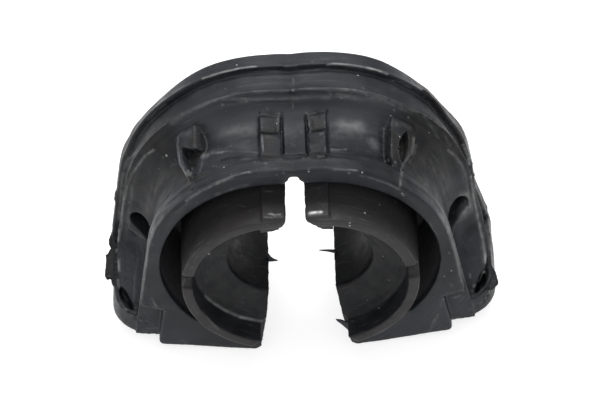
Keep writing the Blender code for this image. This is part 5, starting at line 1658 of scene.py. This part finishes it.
def mask(tree, name):
    # Reads one of the masks that the skin keeps for each of its points.
    node = tree.nodes.new("ShaderNodeAttribute")
    node.attribute_name = name
    return node, "Fac"


def blend(tree, share, low, high):
    # A colour is three numbers, or the source that an earlier blend gave.
    node = tree.nodes.new("ShaderNodeMix")
    node.data_type = "RGBA"
    put(tree, share, node, 0)
    for slot, colour in ((6, low), (7, high)):
        if len(colour) == 3:
            node.inputs[slot].default_value = (*colour, 1.0)
        else:
            put(tree, colour, node, slot)
    return node, 2


# %% Black rubber: the two blacks and the warmer collar
deep_black = (0.0115, 0.0123, 0.0150)
soft_black = (0.0375, 0.0405, 0.0485)
warm_black = (0.0265, 0.0240, 0.0235)

rubber = bpy.data.materials.new("black rubber")
rubber.use_nodes = True
tree = rubber.node_tree
shader = tree.nodes["Principled BSDF"]
shader.inputs["Specular IOR Level"].default_value = 0.24

patch = placed(tree, clouds, Scale=70.0)
small_patch = placed(tree, clouds, Scale=300.0)
streak = placed(tree, streaks, Long=90.0, Fine=1100.0)
uneven = maths(tree, "ADD", maths(tree, "MULTIPLY", patch, 0.45), maths(tree, "MULTIPLY", small_patch, 0.25))
uneven = maths(tree, "ADD", uneven, maths(tree, "MULTIPLY", streak, 0.30))
colour = blend(tree, uneven, deep_black, soft_black)
colour = blend(tree, mask(tree, "warm"), colour, warm_black)
print("nodes for the blacks:", len(tree.nodes))

# %% Black rubber: painted light and shade over broad parts, from the value that the skin keeps
painted_light_black = (0.056, 0.058, 0.064)
painted_light_grey = (0.115, 0.115, 0.125)
shade_black = (0.004, 0.0043, 0.005)

painted_light_here = mask(tree, "painted_light_and_tone")
# A positive value paints light, grey on the walls of the hollow; a negative value paints shade.
colour = blend(tree, maths(tree, "MULTIPLY", painted_light_here, 0.7, clamp=True), colour, painted_light_black)
colour = blend(tree, maths(tree, "SUBTRACT", painted_light_here, 1.0, clamp=True), colour, painted_light_grey)
colour = blend(tree, maths(tree, "MULTIPLY", painted_light_here, -1.0, clamp=True), colour, shade_black)
print("nodes with the tones:", len(tree.nodes))

# %% Black rubber: brown stains, pale edges, and painted shade in corners and creases
stain_brown = (0.026, 0.0235, 0.018)
edge_pale_grey = (0.072, 0.078, 0.086)
crease_shade_black = (0.0035, 0.0037, 0.004)

colour = blend(tree, maths(tree, "MULTIPLY", mask(tree, "brown"), 0.8), colour, stain_brown)
# Edges that stand out are made paler, broken up by noise.
pale_edge = placed(tree, edge_paling, Edge=mask(tree, "edge"), Break=260.0)
colour = blend(tree, maths(tree, "MULTIPLY", pale_edge, 0.50), colour, edge_pale_grey)
# Inward corners and the dark marks get painted shade.
corner = maths(tree, "MULTIPLY", mask(tree, "hollow"), 0.6)
colour = blend(tree, maths(tree, "MAXIMUM", corner, mask(tree, "dark")), colour, crease_shade_black)
print("nodes with stains and edges:", len(tree.nodes))

# %% Black rubber: scratches, pale marks that are partly painted highlights, and white torn spots and painted highlights
scratch_grey = (0.14, 0.145, 0.15)
mark_and_highlight_grey = (0.26, 0.265, 0.265)
torn_and_highlight_white = (0.80, 0.80, 0.80)

scratch = band(tree, placed(tree, streaks, Long=150.0, Fine=3600.0), 0.80, 1.0, 0.0, 0.35)
colour = blend(tree, maths(tree, "MULTIPLY", scratch, patch), colour, scratch_grey)
# Pale marks are partly painted highlights, and above 1 they are white torn spots and painted highlights.
pale_here = mask(tree, "pale")
mark_and_highlight_share = maths(tree, "POWER", maths(tree, "MINIMUM", pale_here, 1.0), 1.3)
colour = blend(tree, mark_and_highlight_share, colour, mark_and_highlight_grey)
colour = blend(tree, maths(tree, "SUBTRACT", pale_here, 1.0, clamp=True), colour, torn_and_highlight_white)
print("nodes with the marks:", len(tree.nodes))

# %% Black rubber: dust in two sizes
dust_grey = (0.33, 0.33, 0.33)
fine_dust_grey = (0.12, 0.12, 0.12)

colour = blend(tree, placed(tree, specks, Scale=620.0, Size=0.18, Share=0.07), colour, dust_grey)
colour = blend(tree, placed(tree, specks, Scale=1300.0, Size=0.20, Share=0.05), colour, fine_dust_grey)
put(tree, colour, shader, "Base Color")
print("nodes for the colour:", len(tree.nodes))

# %% Black rubber: roughness and bump
bump_height = 0.05 * MM

rough = band(tree, small_patch, 0.0, 1.0, 0.36, 0.50)
rough = maths(tree, "ADD", rough, maths(tree, "MULTIPLY", pale_edge, 0.15))
rough = maths(tree, "ADD", rough, maths(tree, "MULTIPLY", streak, 0.10))
put(tree, rough, shader, "Roughness")
bump = tree.nodes.new("ShaderNodeBump")
put(tree, bump_height, bump, "Distance")
put(tree, 0.8, bump, "Strength")
put(tree, placed(tree, grain, Fine=2600.0, Coarse=520.0), bump, "Height")
put(tree, (bump, "Normal"), shader, "Normal")
print("nodes in all:", len(tree.nodes))

# %% [markdown]
# Put the rubber on the pieces.
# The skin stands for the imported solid, and the whiskers are of the same rubber. Both move with the
# one body. Smooth shading lets the small facets of the thinned mesh pass for one surface.

# %% Rubber on the skin and the whiskers
skin.data.materials.clear()
skin.data.materials.append(rubber)
skin.data.shade_smooth()
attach(skin, "root")
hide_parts("bushing")
whisker_piece.data.materials.append(rubber)
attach(whisker_piece, "root")
print("rubber on:", skin.name, "and", whisker_piece.name)

# %% [markdown]
# Camera.
# The photograph looks down on the front from about 49 degrees, with a long lens, so that lines that
# run back hardly come together. The camera was fitted to the ring, the bore, the split and the feet.
# It is given as two angles and a roll about one known point of the piece, which has to land on one
# known pixel. Angles are easier to check and to change than the nine numbers of a rotation.

# %% Camera: the angles and the point that were fitted
reference = Vector((0.0, -0.5 * total_depth, hinge_world - hinge_height)) * MM
camera_elevation = radians(49.23)
camera_azimuth = radians(2.18)
camera_roll = radians(-4.48)
focal_pixels = 5000.0
pixels_per_mm = 4.68
reference_pixel = (300.8, 286.6)
image_size = (600.0, 400.0)
sensor_width = 36.0
print("camera stands off, mm:", round(focal_pixels / pixels_per_mm))

# %% Camera: from the angles to a place and three directions
sa, ca = sin(camera_azimuth), cos(camera_azimuth)
se, ce = sin(camera_elevation), cos(camera_elevation)
level = Vector((ca, sa, 0.0))
steep = Vector((-sa * se, ca * se, ce))
forward = Vector((-sa * ce, ca * ce, -se))
right = cos(camera_roll) * level + sin(camera_roll) * steep
up = cos(camera_roll) * steep - sin(camera_roll) * level
place = reference - forward * (focal_pixels / pixels_per_mm * MM)
aside = (0.5 * image_size[0] - reference_pixel[0]) / focal_pixels
above = (reference_pixel[1] - 0.5 * image_size[1]) / focal_pixels
look = (forward + right * aside + up * above).normalized()
right = (right - look * right.dot(look)).normalized()
up = right.cross(look)

camera_data = bpy.data.cameras.new("camera")
camera_data.sensor_width = sensor_width
camera_data.lens = sensor_width * focal_pixels / image_size[0]
camera = bpy.data.objects.new("camera", camera_data)
bpy.context.scene.collection.objects.link(camera)
camera.matrix_world = Matrix((
    (right.x, up.x, -look.x, place.x), (right.y, up.y, -look.y, place.y),
    (right.z, up.z, -look.z, place.z), (0.0, 0.0, 0.0, 1.0)))
bpy.context.scene.camera = camera
print("camera", [round(v, 4) for v in place], "lens, mm:", round(camera_data.lens, 1))

# %% [markdown]
# Floor.
# The photograph has a white ground with hardly any shadow. More light on the piece would wash out
# its black, so the paper itself glows a little, and only for rays that the camera sends, straight,
# mirrored or through something clear. The shadow of the piece still shows on it.

# %% Floor: plain pale paper that keeps a faint shadow
paper_grey = (0.65, 0.65, 0.65, 1.0)
paper_glow = 0.72

paper = bpy.data.materials.new("paper")
paper.use_nodes = True
tree = paper.node_tree
shader = tree.nodes["Principled BSDF"]
shader.inputs["Base Color"].default_value = paper_grey
shader.inputs["Roughness"].default_value = 0.9
shader.inputs["Specular IOR Level"].default_value = 0.0
shader.inputs["Emission Color"].default_value = (1.0, 1.0, 1.0, 1.0)
seen = tree.nodes.new("ShaderNodeLightPath")
either = maths(tree, "MAXIMUM", (seen, "Is Camera Ray"), (seen, "Is Glossy Ray"))
either = maths(tree, "MAXIMUM", either, (seen, "Is Transmission Ray"))
put(tree, maths(tree, "MULTIPLY", either, paper_glow), shader, "Emission Strength")
bpy.ops.mesh.primitive_plane_add(size=6.0)
floor = bpy.context.object
floor.name = "floor"
floor.data.materials.append(paper)
print("floor:", [round(v, 1) for v in floor.dimensions])

# %% [markdown]
# Light.
# Soft light from all round keeps the hollow readable, and two large lamps give the sheen its
# direction: one above and behind, which draws the bright lines along the bead and the lip, and a
# weaker one in front. Large lamps make soft highlights, as a studio tent does.

# %% World: dim soft light, white where the camera sees it
soft_level = 0.52

world = bpy.data.worlds.new("studio")
bpy.context.scene.world = world
world.use_nodes = True
tree = world.node_tree
sky = tree.nodes["Background"]
sky.inputs["Color"].default_value = (1.0, 1.0, 1.0, 1.0)
seen = tree.nodes.new("ShaderNodeLightPath")
put(tree, band(tree, (seen, "Is Camera Ray"), 0.0, 1.0, soft_level, 1.0), sky, "Strength")
print("world light:", soft_level)

# %% Lamps: name, place, size and power
aim = Vector((0.0, 0.0, 0.03))
lamps = [
    ("top_light", (0.0, 0.25, 0.7), (0.5, 0.3), 3.0),
    ("front_fill", (0.0, -0.55, 0.75), (0.7, 0.5), 1.8),
]
for name, lamp_place, size, power in lamps:
    lamp = bpy.data.lights.new(name, "AREA")
    lamp.shape = "RECTANGLE"
    lamp.size, lamp.size_y = size
    lamp.energy = power
    piece = bpy.data.objects.new(name, lamp)
    bpy.context.scene.collection.objects.link(piece)
    piece.location = lamp_place
    piece.rotation_euler = (aim - Vector(lamp_place)).to_track_quat("-Z", "Y").to_euler()
    print(name, "watts:", power)
bpy.context.scene.view_settings.view_transform = "Standard"
